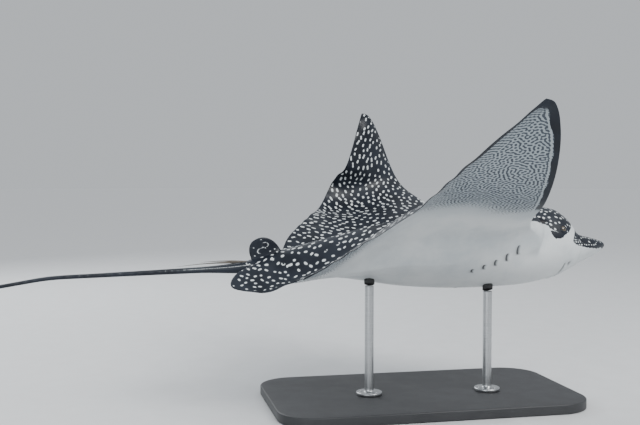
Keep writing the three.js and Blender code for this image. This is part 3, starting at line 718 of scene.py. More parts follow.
        # the nose, from its front point back to the first chord station
        steps = np.arange(self.head_arc) / self.head_arc
        last = math.acos(SPLIT ** (RAY.power / 2))
        angle = last * steps**self.arc_crowding
        arc_rise = (np.sin(angle) / math.sin(last)) ** (2 / RAY.power)
        arc_bulge = (np.cos(angle) ** (2 / RAY.power) - SPLIT) / (1 - SPLIT)
        phi = steps * math.pi / 2
        out = smooth(s / 0.1)
        rise = mix(arc_rise, np.sin(phi), out)
        bulge = mix(arc_bulge, np.cos(phi), out)
        half = np.abs(thin[:, :1] + bulk[:, :1] - low[0] - low[1]) / 2
        forward = half * out
        sideways = (1 - SPLIT) * RAY.half_width(np.array(HEAD_END)) * (1 - out)
        nose_u = u[:, :1] - forward * bulge
        nose_v = v[:, :1] + sideways * bulge
        nose_thin = mix((thin[:, :1] + low[0]) / 2, thin[:, :1], rise)
        nose_bulk = mix((bulk[:, :1] + low[1]) / 2, bulk[:, :1], rise)
        u, v = np.hstack([nose_u, u]), np.hstack([nose_v, v])
        thin, bulk = np.hstack([nose_thin, thin]), np.hstack([nose_bulk, bulk])
        tip = smooth((1 - s) / 0.012) ** 0.5
        thin = thin * tip
        lay = self.wing_lay(sheets, u, v, s, root)
        ids = known.copy()
        ids[0] = root
        new = ids < 0
        ids[new] = sheets.add(u[new], sign * v[new], thin[new], bulk[new], lay[new] * [1, sign])
        return ids

    def close_rear(self, u: Array, v: Array, s: Array) -> Array:
        """Share of its thickness that the wing keeps near its free rear edge, which is rounded."""
        behind = to_mm(np.maximum(0, RAY.trailing(v) - u))
        rounded = rounding(behind / self.rear_round)
        start, stop = self.spans[self.notch - 5], self.spans[self.notch]
        free = ramp_up(s, start, stop - start)
        return mix(1.0, rounded, free)

    def wing_lay(self, sheets: Sheets, u: Array, v: Array, s: Array, root: Array) -> Array:
        """Flat coordinates of a wing in millimetres, for a right wing."""
        lay = sheets.lay_of(root)
        split = lay[self.head_arc :]
        extra = np.abs(split[:, 1]) - to_mm(v[0, self.head_arc :])
        extra = np.append(np.full(self.head_arc, extra[0]), extra)
        flat = np.stack([to_mm(u), to_mm(v) + extra], -1)
        arc = np.abs(lay[: self.head_arc, 1]) - abs(split[0, 1])
        turn = smooth(s / 0.16)
        nose = np.arange(self.head_arc)[None, :]
        flat[:, : self.head_arc, 0] = to_mm(u[:, self.head_arc, None])
        flat[:, : self.head_arc, 0] -= self.nose_out * (1 - nose / self.head_arc) * turn
        base = flat[:, self.head_arc, None, 1]
        flat[:, : self.head_arc, 1] = base + arc[None, :] * (1 - turn)
        return flat

    def pelvic_grid(
        self, sheets: Sheets, side: int, sign: int, root: Array, front: Array, known: Array
    ) -> Array:
        """Vertices of one pelvic fin, from the body outwards and from the wing to the rear edge."""
        s = self.spans[: self.notch + 1]
        c = (s / s[-1])[:, None]
        rows = self.rows[self.row_starts["hips"] : self.row_starts["tail"] + 1]
        r = ((rows - DISC_END) / (HIP_END - DISC_END))[None, :]
        c, r = np.broadcast_arrays(c, r)
        u, v = RAY.pelvic_plan(c, r)
        thin, bulk = RAY.pelvic_section(c, r, v, side)
        other = RAY.pelvic_section(c, r, v, -side)
        rim = np.minimum((1 - c) * self.pelvic_wide, (1 - r) * self.pelvic_long)
        keep = rounding(rim / self.pelvic_round)
        keep = keep * (1 - 0.3 * smooth(c * 3) * bell(r - 0.045, 0.03))  # a groove beside the wing
        middle = [(thin + other[0]) / 2, (bulk + other[1]) / 2]
        thin, bulk = mix(middle[0], thin, keep), mix(middle[1], bulk, keep)
        extra = np.abs(sheets.lay_of(root)[:, 1]) - to_mm(v[0])
        lay = np.stack([to_mm(u), sign * (to_mm(v) + extra[None, :])], -1)
        ids = known.copy()
        ids[0] = root
        ids[:, 0] = front
        new = ids < 0
        ids[new] = sheets.add(u[new], sign * v[new], thin[new], bulk[new], lay[new], rim[new])
        return ids

    def build(self) -> Sheets:
        """Lay out both sheets, welded along the skin's edges."""
        sheets = Sheets()
        at = self.row_starts
        arc, tail_arc, columns = self.head_arc, self.tail_arc, self.columns
        head_u = self.rows[: at["trunk"] + 1]
        trunk_u = self.rows[at["trunk"] : at["tail"] + 1]
        tail_u = self.rows[at["tail"] :]
        both_edges = np.s_[:, [0, -1]]
        for side in (1, -1):
            known = sheets.known("head", (len(head_u), 2 * (columns + arc) + 1), 0, both_edges)
            head = self.body_grid(sheets, head_u, side, arc, known)
            known = sheets.known("trunk", (len(trunk_u), 2 * columns + 1))
            known[0] = head[-1, arc:-arc]
            trunk = self.body_grid(sheets, trunk_u, side, 0, known)
            known = sheets.known("tail", (len(tail_u), 2 * (columns + tail_arc) + 1), both_edges, -1)
            known[0, tail_arc:-tail_arc] = trunk[-1]
            tail = self.body_grid(sheets, tail_u, side, tail_arc, known)
            for name, ids in (("head", head), ("trunk", trunk), ("tail", tail)):
                sheets.grid(name, ids, side)
            for sign in (1, -1):
                self.build_fins(sheets, side, sign, head, trunk, tail)
        return sheets

    def build_fins(
        self, sheets: Sheets, side: int, sign: int, head: Array, trunk: Array, tail: Array
    ) -> None:
        """Add one sheet of one wing and its pelvic fin."""
        right = sign > 0
        arc, tail_arc, notch = self.head_arc, self.tail_arc, self.notch
        nose = head[-1, :arc] if right else head[-1, -1 : -arc - 1 : -1]
        edge = trunk[:, 0] if right else trunk[:, -1]
        chord = self.row_starts["hips"] - self.row_starts["trunk"] + 1
        root = np.append(nose, edge[:chord])
        name = f"wing{sign}"
        known = sheets.known(name, (len(self.spans), len(root)), np.s_[:, 0], -1, np.s_[notch:, -1])
        wing = self.wing_grid(sheets, side, sign, root, known)
        sheets.grid(name, wing, side, flip=not right)
        name, root = f"pelvic{sign}", edge[chord - 1 :]
        known = sheets.known(name, (notch + 1, len(root)), -1, np.s_[1:, -1])
        fin = self.pelvic_grid(sheets, side, sign, root, wing[: notch + 1, -1], known)
        sheets.grid(name, fin, side, flip=not right)
        rim = tail[0, tail_arc::-1] if right else tail[0, -tail_arc - 1 :]
        corner = np.full(tail_arc, fin[1, -1])
        fan = np.stack([corner, rim[:-1], rim[1:]], -1)
        sheets.fans[side].append(fan if (side > 0) == right else fan[:, ::-1])


# ---------- the skin's relief and markings


@dataclass(frozen=True)
class DorsalFin:
    """Small rounded fin that rises as a ridge from the back, in shares of the disc width."""

    front: float = 0.563
    rear: float = 0.611
    lean: float = 0.0125
    height: float = 0.031
    half_thickness: float = 0.0038
    round_power: float = 2.2

    def raise_ridge(self, skin: "Skin") -> None:
        """Pull the crowded middle columns of the back up into the fin."""
        width = skin.layout.fin_band_width
        middle, half = (self.front + self.rear) / 2, (self.rear - self.front) / 2
        x = (skin.u - middle) / half
        pick = skin.back & (np.abs(x) < 1) & (np.abs(skin.v) < width * 1.0001)
        x, p, sign = x[pick], np.abs(skin.v[pick]) / width, np.sign(skin.v[pick])
        crest = (1 - x * x) ** (1 / self.round_power)
        level = crest * (1 - p)
        narrowing = np.sqrt(np.maximum(1e-6, 1 - level**self.round_power))
        across = np.sqrt(np.maximum(0, 1 - (x / narrowing) ** 2))
        thickness = self.half_thickness * (1 - 0.72 * level) * across
        u = skin.u[pick]
        moved = u + self.lean * level
        step = RAY.top(np.minimum(HIP_END, moved)) - RAY.top(np.minimum(HIP_END, u))
        skin.v[pick] = sign * mix(thickness, width * p, p**5)
        skin.bulk[pick] += self.height * level + step * np.minimum(1, level * 4)
        skin.u[pick] = moved
        skin.fin_level[pick] = level
        skin.fin_share[pick] = x


@dataclass(frozen=True)
class EyeSpec:
    """Place and size of an eye: its centre in the flat ray, its radius and opening."""

    u: float = 0.102
    v: float = 0.0605
    w: float = 0.003
    radius: float = 0.0135
    lid: float = 0.0014
    opening_long: float = 37
    opening_high: float = 30
    ahead: float = 0.28
    upward: float = 0.1
    lid_reach: float = 0.034
    lid_side: float = 0.15
    tuck: float = 0.0016

    def centre(self, side: Side) -> Array:
        """World place of the eye's centre."""
        v = np.array([side.value * self.v])
        return POSE.place(np.array([self.u]), v, np.zeros(1), np.array([self.w]))[0]

    def axes(self, side: Side) -> Array:
        """World directions out along the gaze, ahead across it and up across it."""
        at = self.centre(side)
        step = 0.004
        u = self.u + np.array([0, -step, 0])
        v = side.value * self.v + np.array([side.value * step, 0, 0])
        w = self.w + np.array([0, 0, step])
        out, ahead, up = (unit(tip - at) for tip in POSE.place(u, v, np.zeros(3), w))
        gaze = unit(out + ahead * self.ahead + up * self.upward)
        ahead = unit(ahead - gaze * ahead.dot(gaze))
        up = np.cross(gaze, ahead)
        return np.array([gaze, ahead, up if up[2] > 0 else -up])


EYE = EyeSpec()


class Skin:
    """The one skin over all the flesh: its points, faces, flat layout, and the painted shade of its creases
    and openings.
    """

    relax_rounds = 50

    def __init__(self) -> None:
        """Lay the skin out, pose it, shape it and mark it."""
        self.layout = SkinLayout()
        sheets = self.layout.build()
        table = np.concatenate(sheets.vertices)
        self.u, self.v, self.thin, self.bulk = table[:, :4].T.copy()
        self.lay, self.lay_edge, self.pelvic = table[:, 4:6].copy(), table[:, 6].copy(), table[:, 7] > 0
        self.quads = {s: np.concatenate(sheets.faces[s]) for s in (1, -1)}
        self.fans = {s: np.concatenate(sheets.fans[s]) for s in (1, -1)}
        self.back, belly = (np.isin(np.arange(len(table)), self.quads[s]) for s in (1, -1))
        self.rim = self.back & belly
        self.flat_u, self.flat_v = self.u.copy(), np.abs(self.v)
        self.height = self.thin + self.bulk
        # the crease values mark where shade is painted into creases, slits and openings
        self.fin_level, self.fin_share, self.depth, self.crease = np.zeros((4, len(table)))
        DorsalFin().raise_ridge(self)
        self.ripple_edge()
        self.points = POSE.place(self.u, self.v, self.thin, self.bulk)
        flat = (self.u, self.v, self.thin, self.bulk)
        self.points[self.pelvic] = POSE.place_fin(*(a[self.pelvic] for a in flat))
        self.relax()
        self.carve()
        for side in Side:
            self.open_eye(side)

    # ---------- shape

    def ripple_edge(self) -> None:
        """Slight waves along the wings' thin rear edges."""
        q = RAY.chord_share(self.u, self.flat_v)
        share = ramp_up(q, 0.8, 0.2) * ramp_up(self.flat_v, 0.1, 0.06)
        share = share * ramp_down(self.flat_v, 0.44, 0.05) * ~self.pelvic
        phase = self.flat_v * 150 + 0.8 * np.sign(self.v) + 2.2 * np.sin(self.flat_v * 37)
        self.thin = self.thin + 0.0009 * np.sin(phase) * share

    def relax(self) -> None:
        """Smooth out the creases where head, wings, hips and fins meet."""
        u, v = self.flat_u, self.flat_v
        shoulder = ramp_up(u, 0.135, 0.02) * ramp_down(u, 0.21, 0.05)
        shoulder *= ramp_up(v, 0.035, 0.02) * ramp_down(v, 0.1, 0.05)
        hips = ramp_up(u, 0.535, 0.015) * ramp_down(u, 0.612, 0.02) * ramp_down(v, 0.075, 0.02)
        hips *= ramp_up(v, 0.008, 0.006)
        brow = ramp_up(u, 0.052, 0.008) * ramp_down(u, 0.088, 0.012)
        weight = np.clip(shoulder + hips + brow * 0.8, 0, 1) * 0.6
        weight[self.rim & (v > 0.076)] = 0
        weight[self.pelvic & self.rim] = 0
        quads = np.concatenate([self.quads[1], self.quads[-1]])
        quads = quads[(weight[quads] > 0).any(axis=1)]
        edges = np.concatenate([quads[:, [k, (k + 1) % 4]] for k in range(4)])
        ids, local = np.unique(edges, return_inverse=True)
        a, b = local.reshape(-1, 2).T
        points, share = self.points[ids], weight[ids][:, None]
        degree = np.bincount(a, minlength=len(ids)) + np.bincount(b, minlength=len(ids))
        for _ in range(self.relax_rounds):
            sums = [np.bincount(a, p[b], len(ids)) + np.bincount(b, p[a], len(ids)) for p in points.T]
            points = mix(points, np.stack(sums, -1) / degree[:, None], share)
        self.points[ids] = points

    def normals(self) -> Array:
        """Outward unit normals at the vertices."""
        total = np.zeros_like(self.points)
        for s in (1, -1):
            a, b, c, d = self.points[self.quads[s].T]
            cross = np.cross(c - a, d - b)
            for corner in self.quads[s].T:
                for k in range(3):
                    total[:, k] += np.bincount(corner, cross[:, k], len(total))
        return total / np.maximum(np.linalg.norm(total, axis=1, keepdims=True), 1e-12)

    def carve(self) -> None:
        """Press all the hollows into the skin, raise the lips beside them, and paint shade into the hollows.
        """
        self.carve_gills()
        self.carve_mouth()
        self.carve_spiracles()
        self.carve_grooves()
        self.points += self.normals() * (self.depth * MM)[:, None]
        self.crease = np.clip(self.crease, 0, 1)

    def carve_gills(self) -> None:
        """Five slits a side under the shoulders, each with a raised lip ahead of it and painted shade in the
        slit and just behind it.
        """
        first, last = np.array([0.193, 0.081]), np.array([0.264, 0.0495])
        count = 5
        for i in range(count):
            centre = mix(first, last, i / (count - 1))
            a = (self.flat_v - centre[1]) / (0.0088 - 0.0008 * i)
            b = self.flat_u - centre[0] - 0.12 * (self.flat_v - centre[1]) + 0.0022 * a * a
            window = ramp_down(np.abs(a), 0.75, 0.25) * ~self.back
            self.depth -= 3.4 * bell(b, 0.0016) * window
            self.depth += 1.2 * bell(b + 0.0042, 0.0024) * window
            # painted shade in each slit, with a soft painted shadow spreading behind it
            self.crease += (1.15 * bell(b, 0.0017) + 0.22 * bell(b - 0.002, 0.004)) * window

    def carve_mouth(self) -> None:
        """The mouth, its lips, the nostrils, the curtain between them and the lobe's fold, with painted
        shade in the mouth, the nostrils and the fold.
        """
        u, v, belly = self.flat_u, self.flat_v, ~self.back
        line = u - 0.0955 + 1.2 * v * v
        window = ramp_down(v, 0.033, 0.008) * belly
        self.depth -= 4.0 * bell(line, 0.0016) * window
        self.depth += 1.6 * bell(line - 0.0065, 0.0042) * window
        # painted shade along the mouth's slit
        self.crease += 1.0 * bell(line, 0.0013) * window
        notch = 0.0035 * bell(v, 0.0045)
        curtain = ramp_up(u, 0.078, 0.004) * (1 - smooth((line + notch + 0.003) / 0.0012))
        self.depth += 1.5 * curtain * ramp_down(v, 0.027, 0.003) * belly
        nostril = np.hypot((u - 0.0835) / 0.0035, (v - 0.0315) / 0.0048)
        self.depth -= 3.2 * bell(nostril, 1) * belly
        # painted shade in the nostrils
        self.crease += 0.9 * bell(nostril * 1.25, 1) * belly
        self.depth -= np.where(self.back, 1.5, 1.1) * bell(u - 0.0665, 0.0022)
        # painted shade along the lobe's fold on the back
        self.crease += 0.28 * bell(u - 0.0665, 0.0012) * self.back

    def carve_spiracles(self) -> None:
        """The openings behind the eyes, with a raised rim and painted shade inside."""
        u, v, w = self.flat_u, self.flat_v, self.height
        spiracle = np.hypot((u - 0.1355) / 0.0125, (w - 0.0195 - 0.12 * (u - 0.1355)) / 0.0062)
        beside = self.back & (v > 0.8 * RAY.half_width(u)) & (u < 0.152)
        self.depth -= 6.0 * np.clip(1 - spiracle**2, 0, 1) ** 1.5 * beside
        self.depth += 0.5 * bell(spiracle - 1.15, 0.2) * beside
        # painted shade inside the spiracle
        self.crease += 0.95 * ramp_down(spiracle, 0.35, 0.5) * beside

    def carve_grooves(self) -> None:
        """The vent, and the long grooves beside the hips and down the spine, with painted shade in the vent.
        """
        u, v = self.flat_u, self.flat_v
        vent = bell(self.v, 0.0011) * ramp_down(np.abs(u - 0.577), 0.004, 0.003) * ~self.back
        self.depth -= 1.6 * vent
        # painted shade in the vent
        self.crease += 0.7 * vent
        flank = bell(v - 0.083, 0.009) * ramp_up(u, 0.2, 0.06) * ramp_down(u, 0.44, 0.08)
        self.depth -= 0.9 * flank * self.back
        spine = bell(v, 0.0065) * ramp_up(u, 0.16, 0.05) * ramp_down(u, 0.5, 0.05)
        self.depth -= 1.1 * spine * self.back

    def open_eye(self, side: Side) -> None:
        """Wrap the skin round an eyeball as lids, draw it inside within the opening, and paint shade on the
        skin drawn in.
        """
        centre, (gaze, ahead, up) = EYE.centre(side), EYE.axes(side)
        away = self.points - centre
        far = np.linalg.norm(away, axis=1)
        near = (far < EYE.lid_reach) & ((self.v > 0) == (side is Side.RIGHT))
        ids = np.nonzero(near)[0]
        away, far = away[ids], far[ids]
        way = away / far[:, None]
        long, high = way @ ahead, way @ up
        facing = way @ gaze
        angle = np.degrees(np.arccos(np.clip(facing, -1, 1)))
        turn = np.arctan2(high, long)
        opening = 1 / np.hypot(np.cos(turn) / EYE.opening_long, np.sin(turn) / EYE.opening_high)
        share = angle / opening
        rim = EYE.radius + EYE.lid
        brow = 1.2 * MM * smooth(high * 2) * bell(share - 1.3, 0.25)
        lid = np.maximum(far, rim + brow - 0.0006 * ramp_up(share, 1.1, 0.6))
        inside = EYE.radius - EYE.tuck
        radius = mix(inside, rim + brow, ramp_up(share, 0.9, 0.13))
        radius = mix(radius, lid, ramp_up(share, 1.03, 0.25))
        radius = np.where(facing > EYE.lid_side, radius, far)
        self.points[ids] = centre + way * radius[:, None]
        # painted shade on the skin drawn in behind the eyeball, inside the opening
        dark = ramp_down(share, 0.98, 0.1) * (facing > EYE.lid_side)
        self.crease[ids] = np.maximum(self.crease[ids], dark)


class Labyrinth:
    """Seeded field of short dark worms and dots that repeats without a seam."""

    size = 360
    cells = 8.5
    rounds = 9

    def __init__(self, seed: int, dots: float) -> None:
        """Grow the field.

        Args:
            seed: seed of the first noise.
            dots: how far it breaks up into dots.
        """
        rng = np.random.default_rng(seed)
        k = 2 * math.pi * np.fft.fftfreq(self.size)
        k2 = k[:, None] ** 2 + (2 * math.pi * np.fft.rfftfreq(self.size))[None, :] ** 2
        growth = 0.5 - (1 - k2 * (self.cells / (2 * math.pi)) ** 2) ** 2
        values = 0.2 * rng.standard_normal((self.size, self.size))
        for _ in range(self.rounds):
            spectrum = np.fft.rfft2(values) + 0.8 * np.fft.rfft2(dots * values**2 - values**3)
            values = np.fft.irfft2(spectrum / (1 - 0.8 * growth), values.shape)
        self.values = values / np.percentile(np.abs(values), 95)

    def sample(self, x: Array, y: Array, wave: float) -> Array:
        """Values at places in millimetres, for a given distance between neighbouring worms."""
        a, b = x / wave * self.cells, y / wave * self.cells
        i, j = np.floor(a).astype(int), np.floor(b).astype(int)
        s, t = a - i, b - j
        n, f = self.size, self.values
        low = mix(f[i % n, j % n], f[(i + 1) % n, j % n], s)
        high = mix(f[i % n, (j + 1) % n], f[(i + 1) % n, (j + 1) % n], s)
        return mix(low, high, t)


@dataclass
class PaleMarks:
    """White marks of the back: where they sit, their kinds, and the distance field they make."""

    skin: Skin
    cell: float = 13.0
    key_width: int = 400
    head: float = 235.0
    tries: int = 42000

    def spacing(self, x: float, y: float) -> float:
        """Least distance in millimetres between marks at a flat place."""
        far = abs(y)
        if x < 98:
            return 7.6
        if x < 135:
            return 8.8
        if x < self.head:
            return 10.6
        if x > 835 and far > 45:
            return 10.8
        hips = clamp((x - 560) / 160) * (1 - clamp((far - 160) / 120))
        return 15.4 - 2.2 * clamp((far - 350) / 250) - 3.4 * hips

    def places(self, rng: np.random.Generator) -> list[Point3]:
        """Scatter marks at random, none too close to another."""
        cell = 16.0
        grid: dict[tuple[int, int], list[Point3]] = {}
        found: list[Point3] = []
        spread = rng.random((self.tries, 2)) * [1010, 1660] - [0, 830]
        for x, y in spread.tolist():
            gap = self.spacing(x, y)
            i, j = int(x // cell), int(y // cell)
            cells = (grid.get((i + a, j + b), ()) for a in (-1, 0, 1) for b in (-1, 0, 1))
            near = (mark for marks in cells for mark in marks)
            if all((x - p) ** 2 + (y - q) ** 2 > (gap * 0.5 + g * 0.5) ** 2 for p, q, g in near):
                grid.setdefault((i, j), []).append((x, y, gap))
                found.append((x, y, gap))
        return found

    @staticmethod
    def stretch(x: float) -> float:
        """How much longer the head's profile is than its plan, at a place along it."""
        rise = RAY.top(np.array([x - 5.0, x + 5.0]) * MM / DISC)
        return math.hypot(1, to_mm(float(rise[1] - rise[0])) / 10)

    def kind(self, x: float, y: float, pick: float) -> Mark:
        """Kind of the mark at a flat place, from a random number."""
        if x > 835 and abs(y) > 45:
            return Mark.HOOK if pick < 0.05 else Mark.DASH
        if x > 700 and abs(y) < 210:
            if pick < 0.03:
                return Mark.RING
            if pick < 0.12:
                return Mark.HOOK
            return Mark.BEAD if pick < 0.35 else Mark.DASH
        if x < self.head:
            return Mark.DASH
        return Mark.BEAD if pick < 0.2 else Mark.DASH

    def outline(self, kind: Mark, a: Array, b: Array, size: float, length: float) -> Array:
        """Distance inside a mark's outline, along (a) and across (b) its axis."""
        if kind is Mark.RING:
            return size * 0.36 - np.abs(np.hypot(a * 0.75, b) - size * 1.25)
        if kind is Mark.HOOK:
            ring = np.abs(np.hypot(a * 0.8, b) - size * 1.35)
            gap = np.clip(-b - size * 0.2, 0, None) * 1.6
            return size * 0.4 - np.hypot(ring, gap)
        waist = 0.3 * size * np.clip(1 - np.abs(a) / max(length, 0.1), 0, 1) if kind is Mark.BEAD else 0
        stretch = length * (1.35 if kind is Mark.BEAD else 1)
        return size - np.hypot(np.maximum(np.abs(a) - stretch, 0), b) - waist

    def back_field(self) -> Array:
        """Distance inside the nearest mark in millimetres, negative outside, for every vertex."""
        skin, width = self.skin, self.key_width
        result = np.full(len(skin.u), NO_MARK)
        ids = np.nonzero(skin.back & (skin.lay[:, 0] < 1050) & (skin.fin_level < 0.04))[0]
        lay = skin.lay[ids]
        cell_x, cell_y = (np.floor(lay[:, k] / self.cell).astype(int) for k in (0, 1))
        key = cell_x * width + cell_y + width // 2
        order = np.argsort(key, kind="stable")
        key, ids, lay = key[order], ids[order], lay[order]
        rng = np.random.default_rng(SEED)
        for x, y, gap in self.places(rng):
            if x > 935 and abs(y) < 30:
                continue
            pick, turn, one, two = rng.random(4)
            kind = self.kind(x, y, pick)
            on_head = x < self.head
            outer = clamp((abs(y) - 300) / 120)
            stretch = self.stretch(x) if on_head else 1.0
            size = gap * ((0.21 if on_head else 0.18) + 0.04 * one)
            length = gap * (0.03 + 0.15 * two + 0.07 * outer + (0.06 if x > 600 else 0))
            heading = 0.35 * math.sin(x / 90 + 1.3) * math.cos(y / 120) + (turn - 0.5) * (1.3 - 0.5 * outer)
            heading = (heading + outer * math.pi / 2) * (1 if y > 0 else -1)
            i, j = int(x // self.cell), math.floor(y / self.cell) + width // 2
            for row in (i - 1, i, i + 1):
                low, high = np.searchsorted(key, [row * width + j - 1, row * width + j + 2])
                if low == high:
                    continue
                dx, dy = (lay[low:high, 0] - x) * stretch, lay[low:high, 1] - y
                a = dx * math.cos(heading) + dy * math.sin(heading)
                b = dy * math.cos(heading) - dx * math.sin(heading)
                inside = self.outline(kind, a, b, size, length)
                where = ids[low:high]
                result[where] = np.maximum(result[where], inside)
        return np.maximum(result, NO_MARK)

    def fin_field(self) -> Array:
        """Marks of the dorsal fin: a pale ring and a line that hooks round behind it."""
        skin = self.skin
        x, z = skin.fin_share * FIN_LONG, skin.fin_level * FIN_TALL
        ring = np.abs(np.hypot((x + 7) * 0.8, z - 27) - 6.5)
        ring = 0.65 - np.hypot(ring, np.clip(x + 3 + 0.4 * (z - 27), 0, None) * 0.5)
        hook = np.abs(np.hypot((x - 4) * 0.8, (z - 15) * 1.2) - 9)
        hook = 0.85 - np.hypot(hook, np.clip(16 - z - 0.5 * x, 0, None) * 0.6)
        dots = [(25, 8), (-24, 9), (-12, 7), (-4, 43), (20, 28)]
        spots = [1.3 - np.hypot((x - a) * 0.7, z - b) for a, b in dots]
        return np.maximum.reduce([ring, hook, *spots])


class Markings:
    """Turns the marks and shades of the skin into named values at its vertices."""

    def __init__(self, skin: Skin) -> None:
        """Work out all values for a skin."""
        self.skin = skin
        u, v = skin.flat_u, skin.flat_v
        per_mm = DISC / MM
        slant = 0.9  # the edges run aslant, so they are nearer than the plan says
        self.behind_front = (u - RAY.leading(v)) * per_mm * slant
        self.before_rear = (RAY.trailing(v) - u) * per_mm * slant
        self.wing = ramp_up(v, 0.078, 0.02) * ~skin.pelvic
        self.outer = ramp_up(v, 0.12, 0.16)
        self.band = 2 + 7.5 * ramp_up(v, 0.1, 0.2) + 6 * ramp_up(v, 0.42, 0.06)
        self.rim = ramp_down(skin.lay_edge, 3.5, 3.0)
        self.values: dict[str, Array] = {
            "dark": self.dark_pigment(),
            "mark": self.pale_marks(),
            **self.underside(),
            # painted shade of the creases, slits, openings and the skin behind the eyes
            "crease": skin.crease,
            "ray": RAY.chord_share(u, v) * 46 + 6 * v,
            "fold": ramp_up(v, 0.09, 0.05) * smooth(self.before_rear / 12) * self.wing,
        }

    def dark_pigment(self) -> Array:
        """Dark pigment of the back, and how it turns over the edges and ends on the head."""
        skin, u, v, w = self.skin, self.skin.flat_u, self.skin.flat_v, self.skin.height
        wander = 1.2 * np.sin(v * 210) + 0.8 * np.sin(v * 97 + 1)
        front_band = 1 - smooth((self.behind_front - self.band - wander) / 3.0 + 0.5)
        rear_band = 1 - smooth((self.before_rear - 2.5 - 3.5 * self.outer) / 2.5)
        tip = ramp_up(v, 0.466, 0.03)
        outer_front = ramp_up(v, 0.25, 0.04)
        under = np.maximum.reduce([front_band * outer_front, rear_band, tip]) * self.wing
        under = np.maximum(under, ramp_up(u, 0.6, 0.03))
        under = np.where(skin.pelvic, self.rim, under)
        level = self.cap_level(u) - 0.16 * ramp_up(v, 0.1, 0.02) * ramp_up(u, 0.14, 0.01)
        side = smooth((v / RAY.half_width(u) - 0.72) / 0.18) * (u < 0.2)
        above = smooth((w - level) / 0.0018 + 0.5)
        above = np.maximum(above, self.snout_patch())
        pale_root = ramp_down(self.behind_front, 4.5, 2.5) * ramp_up(v, 0.088, 0.01)
        pale_root = pale_root * (1 - outer_front) * self.wing
        side_dark = mix(1.0, above, side) * (1 - pale_root * (u < 0.4))
        return np.where(skin.back, side_dark, np.maximum(under, above * (u < 0.15)))

    def pale_marks(self) -> Array:
        """Distance inside the nearest pale mark, kept clear of the wings' and fins' edges."""
        skin, wing = self.skin, self.wing
        marks = PaleMarks(skin)
        pale = marks.back_field()
        raised = skin.back & (skin.fin_level > 0.04)
        pale[raised] = marks.fin_field()[raised]
        edge = np.minimum(self.behind_front + 1, self.before_rear - 1) * wing + 9 * (1 - wing)
        pale = np.minimum(pale, np.where(skin.pelvic, skin.lay_edge - 2.5, edge - 2.0))
        pale = np.maximum(pale, self.tail_stripes())
        pale = np.where(skin.back & ~(skin.rim & (wing > 0.5)), pale, NO_MARK)
        return np.maximum.reduce([pale, self.snout_dots(), self.brow_streak()])

    def underside(self) -> dict[str, Array]:
        """Worms and dots of the underside, where they are dense, and the grey ground below them."""
        skin, u, v, outer = self.skin, self.skin.flat_u, self.skin.flat_v, self.outer
        belly = ~skin.back
        x, y = skin.lay[:, 0], skin.lay[:, 1]
        past_band = self.behind_front - self.band
        maze = Labyrinth(SEED + 1, 0.45).sample(x, y + 300 * np.sign(y), 7.1)
        comb = np.sin(2 * math.pi * (np.abs(y) + 5 * np.sin(x / 31)) / 7.6)
        maze = mix(maze, comb * 0.85, ramp_down(self.before_rear, 22, 14) * outer * 0.62)
        line = past_band / 7.5
        along_front = np.cos(2 * math.pi * (line - 0.9))
        maze = mix(maze, along_front, ramp_down(line, 1.0, 0.5) * outer * 0.4)
        outwards = v - 0.205 - 0.012 * np.sin(u * 60) - 0.05 * smooth((0.3 - u) / 0.1)
        along = ramp_down(self.before_rear, 22, 78) * ramp_up(v, 0.035, 0.05) * ramp_up(u, 0.3, 0.1)
        cover = np.maximum(smooth(outwards / 0.075), along * 0.95)
        pale_line = bell(past_band - 2.6, 1.9) * outer
        cover = np.where(skin.pelvic, 0.35 * self.rim, cover * (1 - 0.25 * pale_line))
        ground = np.maximum(ramp_up(v, 0.17, 0.12) * (1 - 0.1 * pale_line), along * self.wing)
        return {
            "maze": np.where(belly, maze, -1),
            "cover": np.where(belly, cover, 0),
            "ground": np.where(belly, ground, 0),
        }

    @staticmethod
    def cap_level(u: Array) -> Array:
        """Height of the lower edge of the head's dark cap, which dips round the eye."""
        level = Curve(
            (0.0, 0.03), (0.066, 0.03), (0.074, 0.02), (0.0855, 0.0024), (0.099, -0.007),
            (0.108, -0.0125), (0.1176, -0.0125), (0.1235, -0.0057), (0.1275, 0.009),
            (0.133, 0.0125), (0.14, 0.0145), (0.15, 0.0105), (0.2, 0.0085),
        )
        return level(u) + 0.0004 * np.sin(u * 900) + 0.0003 * np.sin(u * 1430 + 1)

    def snout_patch(self) -> Array:
        """Dark upper half and tip of the snout's lobe, with a pale gap behind it."""
        u, w = self.skin.flat_u, self.skin.height
        level = Curve(
            (0.0, -0.026), (0.014, -0.0243), (0.03, -0.0267), (0.0457, -0.0266), (0.0566, -0.0253),
            (0.0692, -0.0227), (0.085, -0.0165),
        )
        above = w - level(u) - 0.0003 * np.sin(u * 800) - 0.0002 * np.sin(u * 1310)
        low = smooth(above / 0.0018 + 0.5)
        return low * (1 - smooth((u - 0.0745 + 0.5 * w) / 0.003 + 0.5))

    def snout_dots(self) -> Array:
        """Small pale dots on the sides of the snout's lobe, below its rim."""
        skin, u = self.skin, self.skin.flat_u
        result = np.full(len(u), NO_MARK)
        ids = np.nonzero(~skin.back & (u > 0.02) & (u < 0.092) & (skin.height > -0.03))[0]
        x, z = to_mm(u[ids]), to_mm(skin.height[ids])
        rng = np.random.default_rng(SEED + 3)
        for row in range(5):
            for column in range(12):
                a, b, size = rng.random(3)
                at_x = 48 + column * 7.6 + 3.8 * (row % 2) + 2.4 * (a - 0.5)
                at_z = -7 - row * 6.2 + 2.2 * (b - 0.5)
                dot = 1.25 + 0.7 * size - np.hypot((x - at_x) * 0.8, z - at_z)
                result[ids] = np.maximum(result[ids], dot)
        room = (self.snout_patch()[ids] - 0.9) * 40
        result[ids] = np.minimum(result[ids], room)
        return result

